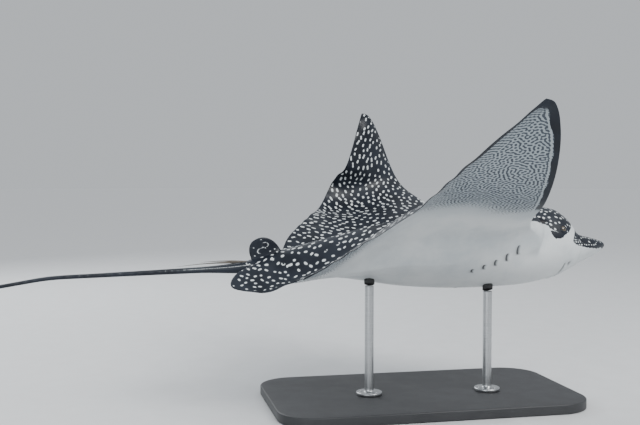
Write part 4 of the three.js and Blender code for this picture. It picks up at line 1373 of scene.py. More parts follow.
    def brow_streak(self) -> Array:
        """Pale streak between the cap and the dark patch round the eye."""
        skin = self.skin
        x, z = to_mm(skin.flat_u), to_mm(skin.height)
        start, end = np.array([203.0, 12.0]), np.array([166.0, -3.5])
        along = end - start
        share = (x - start[0]) * along[0] + (z - start[1]) * along[1]
        share = np.clip(share / (along @ along), 0, 1)
        apart = np.hypot(x - start[0] - share * along[0], z - start[1] - share * along[1])
        streak = 1.7 - 1.3 * share - apart
        return np.where(skin.v > 0.8 * RAY.half_width(skin.flat_u), streak, NO_MARK)

    def tail_stripes(self) -> Array:
        """Two thin pale lines down each side of the tail's root, breaking up into dots."""
        u, v = self.skin.flat_u, np.abs(self.skin.v)
        half = RAY.half_width(u)
        fade = ramp_up(u, 0.7, 0.06)
        dots = 0.5 + 0.5 * np.sin(u * 560 + 1.5 * np.sin(u * 77))
        stripe = np.full(len(u), NO_MARK)
        for share, width, end in ((0.4, 0.05, 0.74), (0.88, 0.15, 1.0)):
            across = to_mm(np.abs(v - share * half))
            line = width - across - fade * dots * 2.2 - 4 * smooth((u - end + 0.03) / 0.03)
            stripe = np.maximum(stripe, line)
        return np.where((u > 0.612) & self.skin.back, stripe, NO_MARK)


# ---------- finishes


class Graph:
    """Small helper to lay out shader nodes."""

    def __init__(self, tree: bpy.types.NodeTree) -> None:
        """Work on a node tree."""
        self.tree = tree

    def node(self, kind: str, feeds: dict | None = None, **settings: object) -> Node:
        """Add a node.

        Args:
            kind: type of the node.
            feeds: sockets or values by the name or number of the input they go to.
            settings: the node's properties.

        Returns:
            The new node.
        """
        made = self.tree.nodes.new(kind)
        for name, value in settings.items():
            setattr(made, name, value)
        for key, value in (feeds or {}).items():
            self.feed(made.inputs[key], value)
        return made

    def feed(self, socket: Socket, value: Socket | float | Color) -> None:
        """Link a socket, or set its value."""
        if isinstance(value, Socket):
            self.tree.links.new(value, socket)
        elif isinstance(value, tuple) and len(value) == 3 and socket.type == "RGBA":
            socket.default_value = (*value, 1.0)
        else:
            socket.default_value = value

    def math(self, operation: str, a: Socket | float, b: Socket | float = 0.0) -> Socket:
        """Result of a math node."""
        return self.node("ShaderNodeMath", {0: a, 1: b}, operation=operation).outputs[0]

    def times(self, a: Socket | float, b: Socket | float) -> Socket:
        """Product of two values."""
        return self.math("MULTIPLY", a, b)

    def plus(self, a: Socket | float, b: Socket | float) -> Socket:
        """Sum of two values."""
        return self.math("ADD", a, b)

    def step(self, value: Socket, low: float, high: float) -> Socket:
        """Smooth step of a value from low to high."""
        feeds = {"Value": value, "From Min": low, "From Max": high}
        return self.node("ShaderNodeMapRange", feeds, interpolation_type="SMOOTHSTEP").outputs[0]

    def range(self, value: Socket, low: float, high: float, to_low: float, to_high: float) -> Socket:
        """Value mapped from one range to another."""
        feeds = {"Value": value, "From Min": low, "From Max": high, "To Min": to_low, "To Max": to_high}
        return self.node("ShaderNodeMapRange", feeds).outputs[0]

    def blend(self, factor: Socket, a: Socket | Color, b: Socket | Color) -> Socket:
        """Blend of two colours."""
        return self.node("ShaderNodeMix", {0: factor, 6: a, 7: b}, data_type="RGBA").outputs[2]

    def attribute(self, name: str, output: str = "Fac") -> Socket:
        """A named value of the mesh."""
        return self.node("ShaderNodeAttribute", attribute_name=name).outputs[output]

    def place(self) -> Socket:
        """Place on the object, in metres."""
        return self.node("ShaderNodeTexCoord").outputs["Object"]

    def noise(self, vector: Socket, scale: Socket | float, detail: float = 3, rough: float = 0.55) -> Socket:
        """Value of a noise texture."""
        feeds = {"Vector": vector, "Scale": scale, "Detail": detail, "Roughness": rough}
        return self.node("ShaderNodeTexNoise", feeds).outputs[0]

    def bump(self, height: Socket, strength: float, distance: float) -> Socket:
        """Normal bumped by a height."""
        feeds = {"Strength": strength, "Distance": distance, "Height": height}
        return self.node("ShaderNodeBump", feeds).outputs["Normal"]


def grain_group() -> bpy.types.NodeTree:
    """Shared fine grain: a height and a slow shade, for every finish."""
    known = bpy.data.node_groups.get("fine_grain")
    if known:
        return known
    tree = bpy.data.node_groups.new("fine_grain", "ShaderNodeTree")
    tree.interface.new_socket("Vector", in_out="INPUT", socket_type="NodeSocketVector")
    for name, default in (("Grain Scale", 900.0), ("Shade Scale", 14.0), ("Coarse Share", 0.5)):
        socket = tree.interface.new_socket(name, in_out="INPUT", socket_type="NodeSocketFloat")
        socket.default_value = default
    for name in ("Height", "Shade"):
        tree.interface.new_socket(name, in_out="OUTPUT", socket_type="NodeSocketFloat")
    graph = Graph(tree)
    source, sink = graph.node("NodeGroupInput"), graph.node("NodeGroupOutput")
    vector = source.outputs["Vector"]
    fine = graph.noise(vector, source.outputs["Grain Scale"], 2)
    coarse = graph.noise(vector, graph.times(source.outputs["Grain Scale"], 0.17), 3)
    coarse = graph.times(coarse, source.outputs["Coarse Share"])
    graph.feed(sink.inputs["Height"], graph.plus(fine, coarse))
    shade = graph.noise(vector, source.outputs["Shade Scale"], 4, 0.6)
    graph.feed(sink.inputs["Shade"], graph.step(shade, 0.3, 0.7))
    return tree


@dataclass(frozen=True)
class Finish:
    """A finish with a plain base: its colour range, gloss and grain."""

    name: str
    light: Color = (0.5, 0.5, 0.5)
    deep: Color = (0.4, 0.4, 0.4)
    roughness: Point = (0.4, 0.5)
    metallic: float = 0.0
    coat: float = 0.0
    coat_roughness: float = 0.2
    specular: float = 0.5
    grain: float = 900.0
    grain_depth: float = 0.0001
    grain_strength: float = 0.3

    def start(self) -> tuple[Material, Graph, Node, Socket, Socket]:
        """Make the material with its shader and shared grain.

        Returns:
            The material, its graph, its shader, and the grain's height and shade.
        """
        material = bpy.data.materials.new(self.name)
        material.use_nodes = True
        graph = Graph(material.node_tree)
        shader = next(n for n in material.node_tree.nodes if n.type == "BSDF_PRINCIPLED")
        shader.inputs["Metallic"].default_value = self.metallic
        shader.inputs["Coat Weight"].default_value = self.coat
        shader.inputs["Coat Roughness"].default_value = self.coat_roughness
        shader.inputs["Specular IOR Level"].default_value = self.specular
        group = graph.node("ShaderNodeGroup", node_tree=grain_group())
        graph.feed(group.inputs["Grain Scale"], self.grain)
        graph.feed(group.inputs["Vector"], graph.place())
        return material, graph, shader, group.outputs["Height"], group.outputs["Shade"]

    def dress(self, graph: Graph, shader: Node, color: Socket, rough: Socket, relief: Socket) -> None:
        """Feed the shader's colour, roughness and normal."""
        normal = graph.bump(relief, self.grain_strength, self.grain_depth)
        for name, socket in (("Base Color", color), ("Roughness", rough), ("Normal", normal)):
            graph.feed(shader.inputs[name], socket)

    def build(self) -> Material:
        """Make the material."""
        material, graph, shader, height, shade = self.start()
        color = graph.blend(shade, self.deep, self.light)
        self.dress(graph, shader, color, graph.range(shade, 0, 1, *self.roughness), height)
        return material


@dataclass(frozen=True)
class SkinFinish(Finish):
    """The ray's wet skin: dark spotted back, pale belly with worms and dots, and painted shade in its
    creases and openings.
    """

    back_deep: Color = (0.006, 0.0085, 0.0145)
    back_light: Color = (0.0145, 0.0195, 0.03)
    mark: Color = (0.82, 0.86, 0.87)
    belly: Color = (0.72, 0.745, 0.75)
    belly_shade: Color = (0.56, 0.6, 0.62)
    under_wing: Color = (0.34, 0.385, 0.415)
    worm: Color = (0.034, 0.043, 0.06)
    # painted shade: near-black for the creases, slits and openings
    crease: Color = (0.022, 0.02, 0.024)

    def build(self) -> Material:
        """Make the material."""
        material, graph, shader, height, shade = self.start()
        vector = graph.place()
        soft = graph.noise(vector, 420, 2)
        wobble = graph.math("SUBTRACT", soft, 0.5)
        # the back
        back = graph.blend(shade, self.back_deep, self.back_light)
        mark = graph.plus(graph.attribute("mark"), graph.times(wobble, 1.1))
        inside = graph.step(mark, -0.35, 0.45)
        glow = graph.times(graph.step(mark, -2.6, 0.4), 0.035)
        back = graph.blend(glow, back, self.mark)
        speckle = graph.range(graph.noise(vector, 1500, 2), 0.35, 0.7, 0.8, 1.0)
        back = graph.blend(graph.times(inside, speckle), back, self.mark)
        # the belly and the undersides of the wings
        cloud = graph.step(graph.noise(vector, 9, 4, 0.6), 0.35, 0.75)
        belly = graph.blend(cloud, self.belly, self.belly_shade)
        belly = graph.blend(graph.attribute("ground"), belly, self.under_wing)
        cover = graph.attribute("cover")
        maze = graph.plus(graph.attribute("maze"), graph.times(wobble, 0.5))
        edge = graph.range(cover, 0, 1, 1.25, 0.05)
        worm = graph.step(graph.math("SUBTRACT", maze, edge), -0.2, 0.22)
        worm = graph.times(worm, graph.step(cover, 0.02, 0.5))
        belly = graph.blend(graph.times(worm, 0.93), belly, self.worm)
        # together, with painted shade in the creases, slits and openings
        dark = graph.plus(graph.attribute("dark"), graph.times(wobble, 0.35))
        color = graph.blend(graph.step(dark, 0.3, 0.7), belly, back)
        # paint shade into the creases, slits and openings
        color = graph.blend(graph.times(graph.attribute("crease"), 0.92), color, self.crease)
        rough = graph.range(shade, 0, 1, *self.roughness)
        rough = graph.plus(rough, graph.times(wobble, 0.12))
        # grain, low marks and the faint rays of the wings
        rays = graph.math("SINE", graph.times(graph.attribute("ray"), 2 * math.pi))
        rays = graph.times(rays, graph.times(graph.attribute("fold"), 0.35))
        relief = graph.plus(graph.times(height, 0.5), rays)
        relief = graph.plus(relief, graph.times(inside, -0.25))
        self.dress(graph, shader, color, rough, relief)
        return material


@dataclass(frozen=True)
class EyeFinish(Finish):
    """The glassy eye: black pupil, dark bronze iris, black rim."""

    iris_light: Color = (0.19, 0.135, 0.06)
    iris_deep: Color = (0.035, 0.027, 0.017)
    outside: Color = (0.012, 0.013, 0.016)
    pupil: Color = (0.002, 0.002, 0.0025)

    def build(self) -> Material:
        """Make the material."""
        material, graph, shader, height, shade = self.start()
        streak = graph.noise(graph.attribute("spoke", "Vector"), 5, 3, 0.65)
        iris = graph.blend(graph.step(streak, 0.32, 0.68), self.iris_deep, self.iris_light)
        ring = graph.attribute("iris")
        inner = graph.times(graph.step(ring, 0.0, 1.5), graph.range(shade, 0, 1, 0.8, 1.0))
        color = graph.blend(inner, self.outside, iris)
        color = graph.blend(graph.step(graph.attribute("pupil"), -0.25, 0.25), color, self.pupil)
        self.dress(graph, shader, color, graph.range(shade, 0, 1, *self.roughness), height)
        return material


@dataclass(frozen=True)
class BrushedFinish(Finish):
    """Brushed steel, with fine lines round the rods."""

    brush: Point3 = (6, 6, 900)

    def build(self) -> Material:
        """Make the material."""
        material, graph, shader, height, shade = self.start()
        stretch = graph.node("ShaderNodeMapping", {"Scale": self.brush, "Vector": graph.place()})
        lines = graph.noise(stretch.outputs["Vector"], 3, 4, 0.7)
        color = graph.blend(graph.step(lines, 0.3, 0.7), self.deep, self.light)
        both = graph.plus(graph.times(lines, 0.7), graph.times(shade, 0.3))
        rough = graph.range(both, 0.2, 0.8, *self.roughness)
        self.dress(graph, shader, color, rough, graph.plus(lines, graph.times(height, 0.2)))
        return material


SKIN = SkinFinish(
    "ray_skin", roughness=(0.36, 0.48), coat=0.05, specular=0.28,
    grain=1100, grain_depth=0.00022, grain_strength=0.35,
)
EYE_GLASS = EyeFinish(
    "ray_eye", roughness=(0.05, 0.09), coat=1.0, coat_roughness=0.03,
    grain=500, grain_depth=0.00002, grain_strength=0.1,
)
HORN = Finish(
    "sting_horn", (0.13, 0.11, 0.085), (0.032, 0.028, 0.025), (0.35, 0.5), grain=1500, grain_strength=0.4
)
PAINT = Finish(
    "stand_paint", (0.035, 0.036, 0.039), (0.026, 0.027, 0.03), (0.46, 0.56),
    grain=2200, grain_depth=0.00012, grain_strength=0.45,
)
STEEL = BrushedFinish(
    "stand_steel", (0.56, 0.57, 0.58), (0.4, 0.41, 0.42), (0.24, 0.38), metallic=1.0,
    grain=1500, grain_depth=0.00004, grain_strength=0.25,
)
RUBBER = Finish(
    "stand_rubber", (0.03, 0.03, 0.031), (0.018, 0.018, 0.019), (0.7, 0.82), grain=1800, grain_strength=0.35
)
FLOOR = Finish(
    "studio_floor", (0.72, 0.73, 0.74), (0.69, 0.7, 0.71), (0.55, 0.65), grain=300, grain_strength=0.1
)


# ---------- pieces


def add_object(name: str, data: bpy.types.ID) -> Object:
    """Make an object and link it into the scene."""
    made = bpy.data.objects.new(name, data)
    bpy.context.scene.collection.objects.link(made)
    return made


def make_mesh(name: str, points: Array, quads: Array, tris: Array | None = None) -> Object:
    """Make an object from points and faces.

    Args:
        name: the piece's name.
        points: world points in metres.
        quads: rows of four vertex numbers.
        tris: rows of three vertex numbers, or None.

    Returns:
        The new object, linked into the scene, smooth shaded.
    """
    tris = np.zeros((0, 3), int) if tris is None else tris
    mesh = bpy.data.meshes.new(name)
    corners = np.concatenate([quads.ravel(), tris.ravel()])
    starts = np.concatenate([np.arange(len(quads)) * 4, len(quads) * 4 + np.arange(len(tris)) * 3])
    mesh.vertices.add(len(points))
    mesh.vertices.foreach_set("co", points.astype(np.float32).ravel())
    mesh.loops.add(len(corners))
    mesh.loops.foreach_set("vertex_index", corners.astype(np.int32))
    mesh.polygons.add(len(starts))
    mesh.polygons.foreach_set("loop_start", starts.astype(np.int32))
    mesh.update(calc_edges=True)
    mesh.shade_smooth()
    return add_object(name, mesh)


def set_values(piece: Object, name: str, values: Array) -> None:
    """Store a named value or vector at each of a piece's vertices."""
    kind, key = ("FLOAT", "value") if values.ndim == 1 else ("FLOAT_VECTOR", "vector")
    layer = piece.data.attributes.new(name, kind, "POINT")
    layer.data.foreach_set(key, values.astype(np.float32).ravel())


def ring_quads(rings: int, sides: int) -> Array:
    """Quads of a tube of rings, closed round each ring."""
    i, k = np.meshgrid(np.arange(rings - 1), np.arange(sides), indexing="ij")
    low, high, n = i * sides, (i + 1) * sides, (k + 1) % sides
    return np.stack([low + k, low + n, high + n, high + k], -1).reshape(-1, 4)


def cap_tris(first: int, sides: int, tip: int) -> Array:
    """Fan of triangles between a middle vertex and the ring that starts at first."""
    k = np.arange(sides)
    return np.stack([np.full(sides, tip), first + k, first + (k + 1) % sides], -1)


def finish_piece(piece: Object, material: Material, slot: str, *nodes: str) -> None:
    """Dress a piece, hang it under the root body, and hide the nodes it replaces if any."""
    piece.data.materials.append(material)
    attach(piece, "root")
    if nodes:
        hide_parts(*nodes)
    log.info("%s: %d faces", piece.name, len(piece.data.polygons))


FLESH = (
    "rostrum", "head", "trunk", "hips", "dorsal_fin",
    "wing_right_inner", "wing_right_outer", "wing_left_inner", "wing_left_outer",
    "pelvic_fin_right", "pelvic_fin_left", "tail_1", "tail_2", "tail_3", "tail_4",
)


@dataclass
class SkinPiece:
    """The skin as a Blender object, with its markings and its unwrapped layout."""

    sheet_size: float = 2000.0
    belly_shift: float = 1000.0
    middle: float = 800.0
    tail_cuts: tuple[float, ...] = (990.0, 1650.0, 2250.0)
    tail_room: float = 640.0
    tail_margin: float = 5.0
    tail_rows: Point = (1660.0, 1740.0)
    fin_corner: Point = (200.0, 1850.0)
    fin_apart: float = 150.0
    fin_lean: float = 27.0

    def build(self) -> None:
        """Make, mark, unwrap and dress the skin."""
        skin = Skin()
        log.info("skin laid out: %d points", len(skin.u))
        quads = np.concatenate([skin.quads[1], skin.quads[-1]])
        tris = np.concatenate([skin.fans[1], skin.fans[-1]])
        piece = make_mesh("ray_skin", skin.points, quads, tris)
        for name, values in Markings(skin).values.items():
            set_values(piece, name, values)
        self.unwrap(piece, skin)
        finish_piece(piece, SKIN.build(), "skin", *FLESH)

    def unwrap(self, piece: Object, skin: Skin) -> None:
        """Lay the skin's own flat plan out as UV islands: back, belly, tail lengths and fin."""
        parts = {}
        for side in (1, -1):
            for kind, faces in (("quads", skin.quads[side]), ("fans", skin.fans[side])):
                lay = skin.lay[faces].copy()
                x = lay[..., 0].mean(axis=1)
                move = np.zeros((len(faces), 2))
                move[:] = (0 if side > 0 else self.belly_shift, self.middle)
                for i, start in enumerate(self.tail_cuts):
                    move[x > start] = (
                        i * self.tail_room - start + self.tail_margin,
                        self.tail_rows[0 if side > 0 else 1],
                    )
                lay += move[:, None, :]
                if side > 0:
                    self.lay_fin(skin, faces, lay)
                parts[kind, side] = (lay / self.sheet_size).reshape(-1, 2)
        order = (("quads", 1), ("quads", -1), ("fans", 1), ("fans", -1))
        layout = np.concatenate([parts[key] for key in order])
        layer = piece.data.uv_layers.new(name="OFBake")
        layer.data.foreach_set("uv", layout.astype(np.float32).ravel())

    def lay_fin(self, skin: Skin, faces: Array, lay: Array) -> None:
        """Move the dorsal fin's faces to islands of their own, one for each side of it."""
        level, share = skin.fin_level[faces], skin.fin_share[faces]
        raised = (level > 0).any(axis=1)
        across = np.sign(skin.v[faces].sum(axis=1))[:, None]
        x = share * FIN_LONG + level * self.fin_lean + self.fin_corner[0] + self.fin_apart * across
        flat = np.stack([x, level * FIN_TALL + self.fin_corner[1]], -1)
        lay[raised] = flat[raised]


@dataclass
class Eye:
    """An eyeball with a domed cornea, and a pupil half covered from above."""

    side: Side
    rings: int = 84
    sides: int = 96
    cornea: float = 0.0009
    clearance: float = 0.0002
    iris: float = 6.6
    pupil_long: float = 4.4
    pupil_high: float = 3.1

    def build(self, material: Material) -> None:
        """Make and dress the eye."""
        centre, (gaze, ahead, up) = EYE.centre(self.side), EYE.axes(self.side)
        polar = np.linspace(0, 1, self.rings)[1:-1] ** 1.35 * math.pi
        turn = turns(self.sides)
        p, t = (a.ravel() for a in np.meshgrid(polar, turn, indexing="ij"))
        dome = self.cornea * np.clip(1 - (p / 0.62) ** 2, 0, 1) ** 1.2
        radius = EYE.radius - self.clearance + dome
        way = (
            np.multiply.outer(np.cos(p), gaze)
            + np.multiply.outer(np.sin(p) * np.cos(t), ahead)
            + np.multiply.outer(np.sin(p) * np.sin(t), up)
        )
        tip = EYE.radius - self.clearance + self.cornea
        points = centre + way * radius[:, None]
        points = np.vstack([points, centre + gaze * tip, centre - gaze * EYE.radius])
        count = len(p)
        front_cap = cap_tris(0, self.sides, count)
        rear_cap = cap_tris(count - self.sides, self.sides, count + 1)[:, ::-1]
        caps = np.concatenate([front_cap, rear_cap])
        quads = ring_quads(self.rings - 2, self.sides)[:, ::-1]
        if np.linalg.det(np.array([gaze, ahead, up])) < 0:
            caps, quads = caps[:, ::-1], quads[:, ::-1]
        node = f"eye_{self.side.name.lower()}"
        piece = make_mesh(f"{node}_ball", points, quads, caps)
        long = np.append(np.sin(p) * np.cos(t), [0, 0]) * EYE.radius / MM
        high = np.append(np.sin(p) * np.sin(t), [0, 0]) * EYE.radius / MM
        front = np.append(np.cos(p), [1, -1]) > 0
        from_axis = np.hypot(long, high)
        slit = (1 - np.hypot(long / self.pupil_long, high / self.pupil_high)) * self.pupil_high
        flap = np.hypot(long / 1.25, high - 2.7) - 2.3
        set_values(piece, "iris", np.where(front, self.iris - from_axis, NO_MARK))
        set_values(piece, "pupil", np.where(front, np.minimum(slit, flap), NO_MARK))
        safe = np.maximum(from_axis, 0.3)
        set_values(piece, "spoke", np.stack([long / safe * 3, high / safe * 3, from_axis * 0.06], -1))
        finish_piece(piece, material, "eye", node)


@dataclass
class Sting:
    """A flat tapered sting with teeth down both edges, its base sunk in the tail's skin."""

    number: int
    u: float
    v: float
    length: float
    rise: float
    half_width: float = 0.0032
    half_thickness: float = 0.0019
    teeth: int = 34
    sunk: float = 0.002
    sheath_end: float = 0.16
    waist: float = 0.74
    outline: tuple[Point, ...] = (
        (1, 0), (0.82, 0.34), (0.42, 0.86), (0, 1.0), (-0.42, 0.86), (-0.82, 0.34),
        (-1, 0), (-0.82, -0.34), (-0.42, -0.7), (0, -0.62), (0.42, -0.7), (0.82, -0.34),
    )

    def build(self, material: Material) -> None:
        """Make and dress the sting."""
        ends = []
        for u in (np.array([self.u]), np.array([self.u + self.length])):
            thin, bulk = RAY.section(u, np.array([abs(self.v)]), 1)
            ends.append(POSE.place(u, np.array([self.v]), thin, bulk)[0])
        zero = np.zeros(2)
        line = POSE.place(np.full(2, self.u), zero, zero, np.array([0, 0.004]))
        up = unit(line[1] - line[0])
        start, end = ends[0] - up * self.sunk, ends[1] + up * self.rise * DISC
        along = end - start
        across = unit(np.cross(along, up))
        above = unit(np.cross(across, along))
        steps = self.teeth * 6
        t = np.linspace(0, 1, steps + 1)
        size = np.maximum(0.05, (1 - t) ** 0.7)
        tooth = (t * self.teeth) % 1.0
        ragged = self.waist + (1 - self.waist) * (1 - tooth) ** 0.7 * ramp_up(t, self.sheath_end, 0.06)
        bow = 0.003 * np.sin(math.pi * t)
        sheath = 1 + 0.45 * ramp_down(t, 0.25, 0.3)
        rings = []
        for a, b in self.outline:
            wide = np.where(abs(a) > 0.9, ragged, self.waist + (1 - self.waist) * (t < self.sheath_end))
            ridge = 1 + 0.12 * math.cos(a * 9) * (abs(a) < 0.5)
            side = across[None, :] * (a * self.half_width * size * wide)[:, None]
            lift = above[None, :] * (b * ridge * self.half_thickness * size * sheath + bow)[:, None]
            rings.append(start + t[:, None] * along + side + lift)
        points = np.stack(rings, 1).reshape(-1, 3)
        sides = len(self.outline)
        count = len(points)
        points = np.vstack([points, start, end + along * 0.004])
        caps = [cap_tris(0, sides, count), cap_tris(count - sides, sides, count + 1)[:, ::-1]]
        quads = ring_quads(steps + 1, sides)
        piece = make_mesh(f"sting_{self.number}_blade", points, quads, np.concatenate(caps))
        fix_normals(piece)
        finish_piece(piece, material, "horn", f"sting_{self.number}")


def fix_normals(piece: Object) -> None:
    """Turn a closed piece's faces outwards."""
    mesh = bmesh.new()
    mesh.from_mesh(piece.data)
    bmesh.ops.recalc_face_normals(mesh, faces=mesh.faces)
    mesh.to_mesh(piece.data)
    mesh.free()


@dataclass
class Lathe:
    """A turned shape: radius and height pairs spun round an upright axis."""

    profile: list[Point]
    sides: int = 64

    def points(self, x: float, y: float) -> Array:
        """World points, ring by ring."""
        turn = turns(self.sides)
        circle = np.stack([np.cos(turn), np.sin(turn)], -1)
        rings = [np.column_stack([circle * r + [x, y], np.full(self.sides, z)]) for r, z in self.profile]
        return np.concatenate(rings)

    def faces(self) -> Array:
        """Quads between the rings."""
        return ring_quads(len(self.profile), self.sides)


@dataclass
class StandBase:
    """Rounded plate with softened edges, powder coated."""

    length: float = 0.76
    width: float = 0.43
    thickness: float = 0.024
    corner: float = 0.09
    bevel: float = 0.003
    foot: float = 0.0015
    corner_points: int = 17

    def outline(self, inset: float) -> Array:
        """Points round the plate, set in from its edge."""
        radius = self.corner - inset
        x, y = self.width / 2 - self.corner, self.length / 2 - self.corner
        turn = np.linspace(0, math.pi / 2, self.corner_points)
        corners = []
        for number, (cx, cy) in enumerate(((x, y), (-x, y), (-x, -y), (x, -y))):
            angle = turn + number * math.pi / 2
            corners.append(np.stack([cx + radius * np.cos(angle), cy + radius * np.sin(angle)], -1))
        return np.concatenate(corners)

    def build(self, material: Material) -> None:
        """Make and dress the plate."""
        top, bevel, foot = self.thickness, self.bevel, self.foot
        levels = [(0.006, 0.0), (0.0035, 0.0), (0.0035, foot), (0.001, foot)]
        steps = np.linspace(0, math.pi / 2, 7)
        levels += [(bevel * (1 - math.sin(a)) * 0.4, foot + bevel * 0.4 * (1 - math.cos(a))) for a in steps]
        levels += [(bevel * (1 - math.cos(a)), top - bevel * (1 - math.sin(a))) for a in steps]
        levels += [(0.02, top), (0.08, top)]
        sides = 4 * self.corner_points
        rings = [np.column_stack([self.outline(inset), np.full(sides, z)]) for inset, z in levels]
        count = len(levels) * sides
        points = np.vstack([*rings, [0, 0, 0], [0, 0, top]])
        caps = [cap_tris(0, sides, count)[:, ::-1], cap_tris(count - sides, sides, count + 1)]
        piece = make_mesh("stand_plate", points, ring_quads(len(levels), sides), np.concatenate(caps))
        fix_normals(piece)
        finish_piece(piece, material, "stand_paint", "stand_base")


@dataclass
class StandRod:
    """Steel rod on a round foot with three screws, its top shaped to the belly."""

    number: int
    u: float
    radius: float = 0.011
    foot_radius: float = 0.032
    foot_height: float = 0.012
    bottom: float = 0.0243
    sides: int = 64
    cap_height: float = 0.016
    crown_depth: float = 0.03
    cap_profile: tuple[Point, ...] = (
        (1.0, 0.012), (1.13, 0.0115), (1.15, 0.0105), (1.15, 0.0012), (1.09, 0.0002), (0.9, 0.0), (0.03, 0.0)
    )
    screw_circle: float = 0.0235
    screw_sides: int = 24

    def profile(self, top: float) -> list[Point]:
        """Radii and heights from the foot to just below the top."""
        base, rise = self.bottom, self.bottom + self.foot_height
        rounded = [
            (self.foot_radius - 0.003 * (1 - math.cos(a)), rise - 0.004 - 0.003 * (1 - math.sin(a)))
            for a in np.linspace(0, math.pi / 2, 6)
        ]
        fillet = [
            (self.radius + 0.004 * (1 - math.sin(a)), rise - 0.004 + 0.004 * (1 - math.cos(a)) * 1.6)
            for a in np.linspace(0, math.pi / 2, 8)
        ]
        shaft = [(self.radius, z) for z in np.linspace(rise + 0.006, top, 9)]
        foot = [(0.0005, base), (self.foot_radius - 0.001, base), (self.foot_radius, base + 0.001)]
        return foot + rounded + fillet + shaft

    def build(self, steel: Material, rubber: Material) -> None:
        """Make and dress the rod, its screws and its soft cap."""
        node = f"stand_rod_{self.number}"
        u = np.array([self.u])
        thin, bulk = RAY.section(u, np.zeros(1), -1)
        x, y, z = POSE.place(u, np.zeros(1), thin, bulk)[0]
        cad = np.array([v.co for v in bpy.data.objects[node].data.vertices])
        on_shaft = cad[np.hypot(cad[:, 0] - x, cad[:, 1] - y) < self.radius * 1.05]
        crown = on_shaft[on_shaft[:, 2] > z - self.crown_depth]
        columns = np.column_stack([crown[:, :2] - [x, y], np.ones(len(crown))])
        fit = np.linalg.lstsq(columns, crown[:, 2], rcond=None)[0]
        rod = Lathe(self.profile(z - self.cap_height), self.sides)
        points = rod.points(x, y)
        circle = points[-self.sides :]
        rings = []
        for grow, drop in self.cap_profile:
            ring = circle.copy()
            ring[:, :2] = (circle[:, :2] - [x, y]) * grow + [x, y]
            slope = (ring[:, :2] - [x, y]) @ fit[:2] + fit[2]
            ring[:, 2] = slope - drop - 0.0002
            rings.append(ring)
        piece = make_mesh(f"{node}_shaft", points, rod.faces())
        self.add_screws(piece, x, y)
        finish_piece(piece, steel, "stand_metal", node)
        cap = make_mesh(f"{node}_cap", np.concatenate(rings), ring_quads(len(rings), self.sides))
        finish_piece(cap, rubber, "stand_paint")

    def add_screws(self, piece: Object, x: float, y: float) -> None:
        """Join three small socket screws into the foot."""
        mesh = bmesh.new()
        mesh.from_mesh(piece.data)
        top = self.bottom + self.foot_height - 0.004
        rim = [(0.0034, top - 0.001), (0.0034, top + 0.0014), (0.003, top + 0.0018)]
        socket = [(0.0017, top + 0.0018), (0.0016, top + 0.0006), (0.0001, top + 0.0006)]
        head = Lathe(rim + socket, self.screw_sides)
        for k in range(3):
            angle = math.radians(90 + 120 * k)
            at_x, at_y = x + self.screw_circle * math.cos(angle), y + self.screw_circle * math.sin(angle)
            verts = [mesh.verts.new(p) for p in head.points(at_x, at_y).tolist()]
            for face in head.faces().tolist():
                made = mesh.faces.new([verts[i] for i in face])
                made.smooth = True
        mesh.to_mesh(piece.data)
        mesh.free()


# ---------- studio


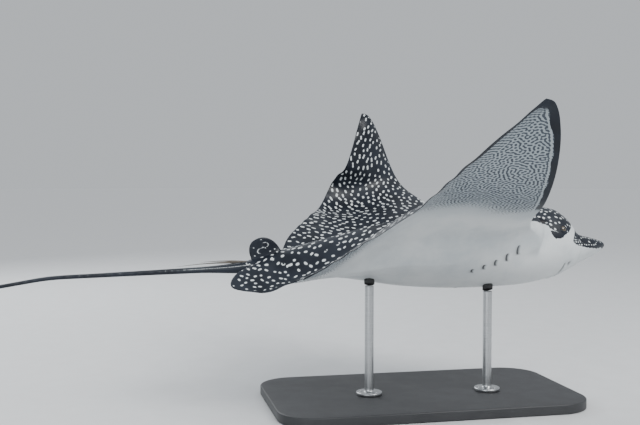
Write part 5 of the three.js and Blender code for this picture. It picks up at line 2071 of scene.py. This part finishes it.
@dataclass
class Studio:
    """Plain pale floor, soft lights and the camera."""

    target: Point3 = (0.0, 0.0, 0.372)
    camera_place: Point3 = (-2.17765, 0.71626, 0.5601)
    forward: Point3 = (0.97722716, -0.20836632, -0.04013179)
    lens: float = 51.65
    sensor: float = 36
    far_clip: float = 200
    floor_rings: tuple[float, ...] = (0.01, 1, 4, 12, 40)
    floor_sides: int = 96
    sun_power: float = 0.9
    sun_angle: float = 0.9
    sun_turn: Point3 = (0.35, -0.45, 0)
    sky: Color = (0.8, 0.84, 0.88)
    sky_power: float = 0.7

    def floor(self) -> None:
        """Make the floor."""
        disc = Lathe([(radius, 0) for radius in self.floor_rings], self.floor_sides)
        piece = make_mesh("floor", disc.points(0, 0), disc.faces()[:, ::-1])
        piece.data.materials.append(FLOOR.build())

    def light(self, name: str, place: Point3, size: float, power: float, color: Color) -> None:
        """Add a soft area light that faces the ray."""
        lamp = bpy.data.lights.new(name, "AREA")
        lamp.shape = "DISK"
        lamp.size, lamp.energy, lamp.color = size, power, color
        made = add_object(name, lamp)
        made.location = place
        aim = Vector(self.target) - Vector(place)
        made.rotation_euler = aim.to_track_quat("-Z", "Y").to_euler()

    def build(self) -> None:
        """Set the stage."""
        self.floor()
        self.light("key", (-2.4, -1.6, 3.2), 2.2, 95, (1.0, 0.99, 0.97))
        self.light("fill", (-3.2, 2.4, 1.3), 2.4, 42, (0.93, 0.97, 1.0))
        self.light("rim", (2.8, 1.6, 2.2), 2.0, 60, (0.95, 0.98, 1.0))
        sun = bpy.data.lights.new("overhead", "SUN")
        sun.energy, sun.angle = self.sun_power, self.sun_angle
        add_object("overhead", sun).rotation_euler = self.sun_turn
        world = bpy.data.worlds.new("studio")
        bpy.context.scene.world = world
        world.use_nodes = True
        back = world.node_tree.nodes["Background"]
        back.inputs["Color"].default_value = (*self.sky, 1)
        back.inputs["Strength"].default_value = self.sky_power
        lens = bpy.data.cameras.new("camera")
        lens.lens, lens.sensor_width, lens.clip_end = self.lens, self.sensor, self.far_clip
        camera = add_object("camera", lens)
        camera.location = self.camera_place
        camera.rotation_euler = Vector(self.forward).to_track_quat("-Z", "Y").to_euler()
        bpy.context.scene.camera = camera


def main() -> None:
    """Build the ray, its stand and the studio."""
    logging.basicConfig(level=logging.INFO, format="%(name)s: %(message)s")
    Studio().build()
    SkinPiece().build()
    eye = EYE_GLASS.build()
    for side in Side:
        Eye(side).build(eye)
    horn = HORN.build()
    Sting(1, 0.619, 0.0022, 0.075, 0.008).build(horn)
    Sting(2, 0.627, -0.0038, 0.105, 0.003).build(horn)
    StandBase().build(PAINT.build())
    steel, rubber = STEEL.build(), RUBBER.build()
    StandRod(1, 0.22).build(steel, rubber)
    StandRod(2, 0.42).build(steel, rubber)


if __name__ == "__main__":
    main()
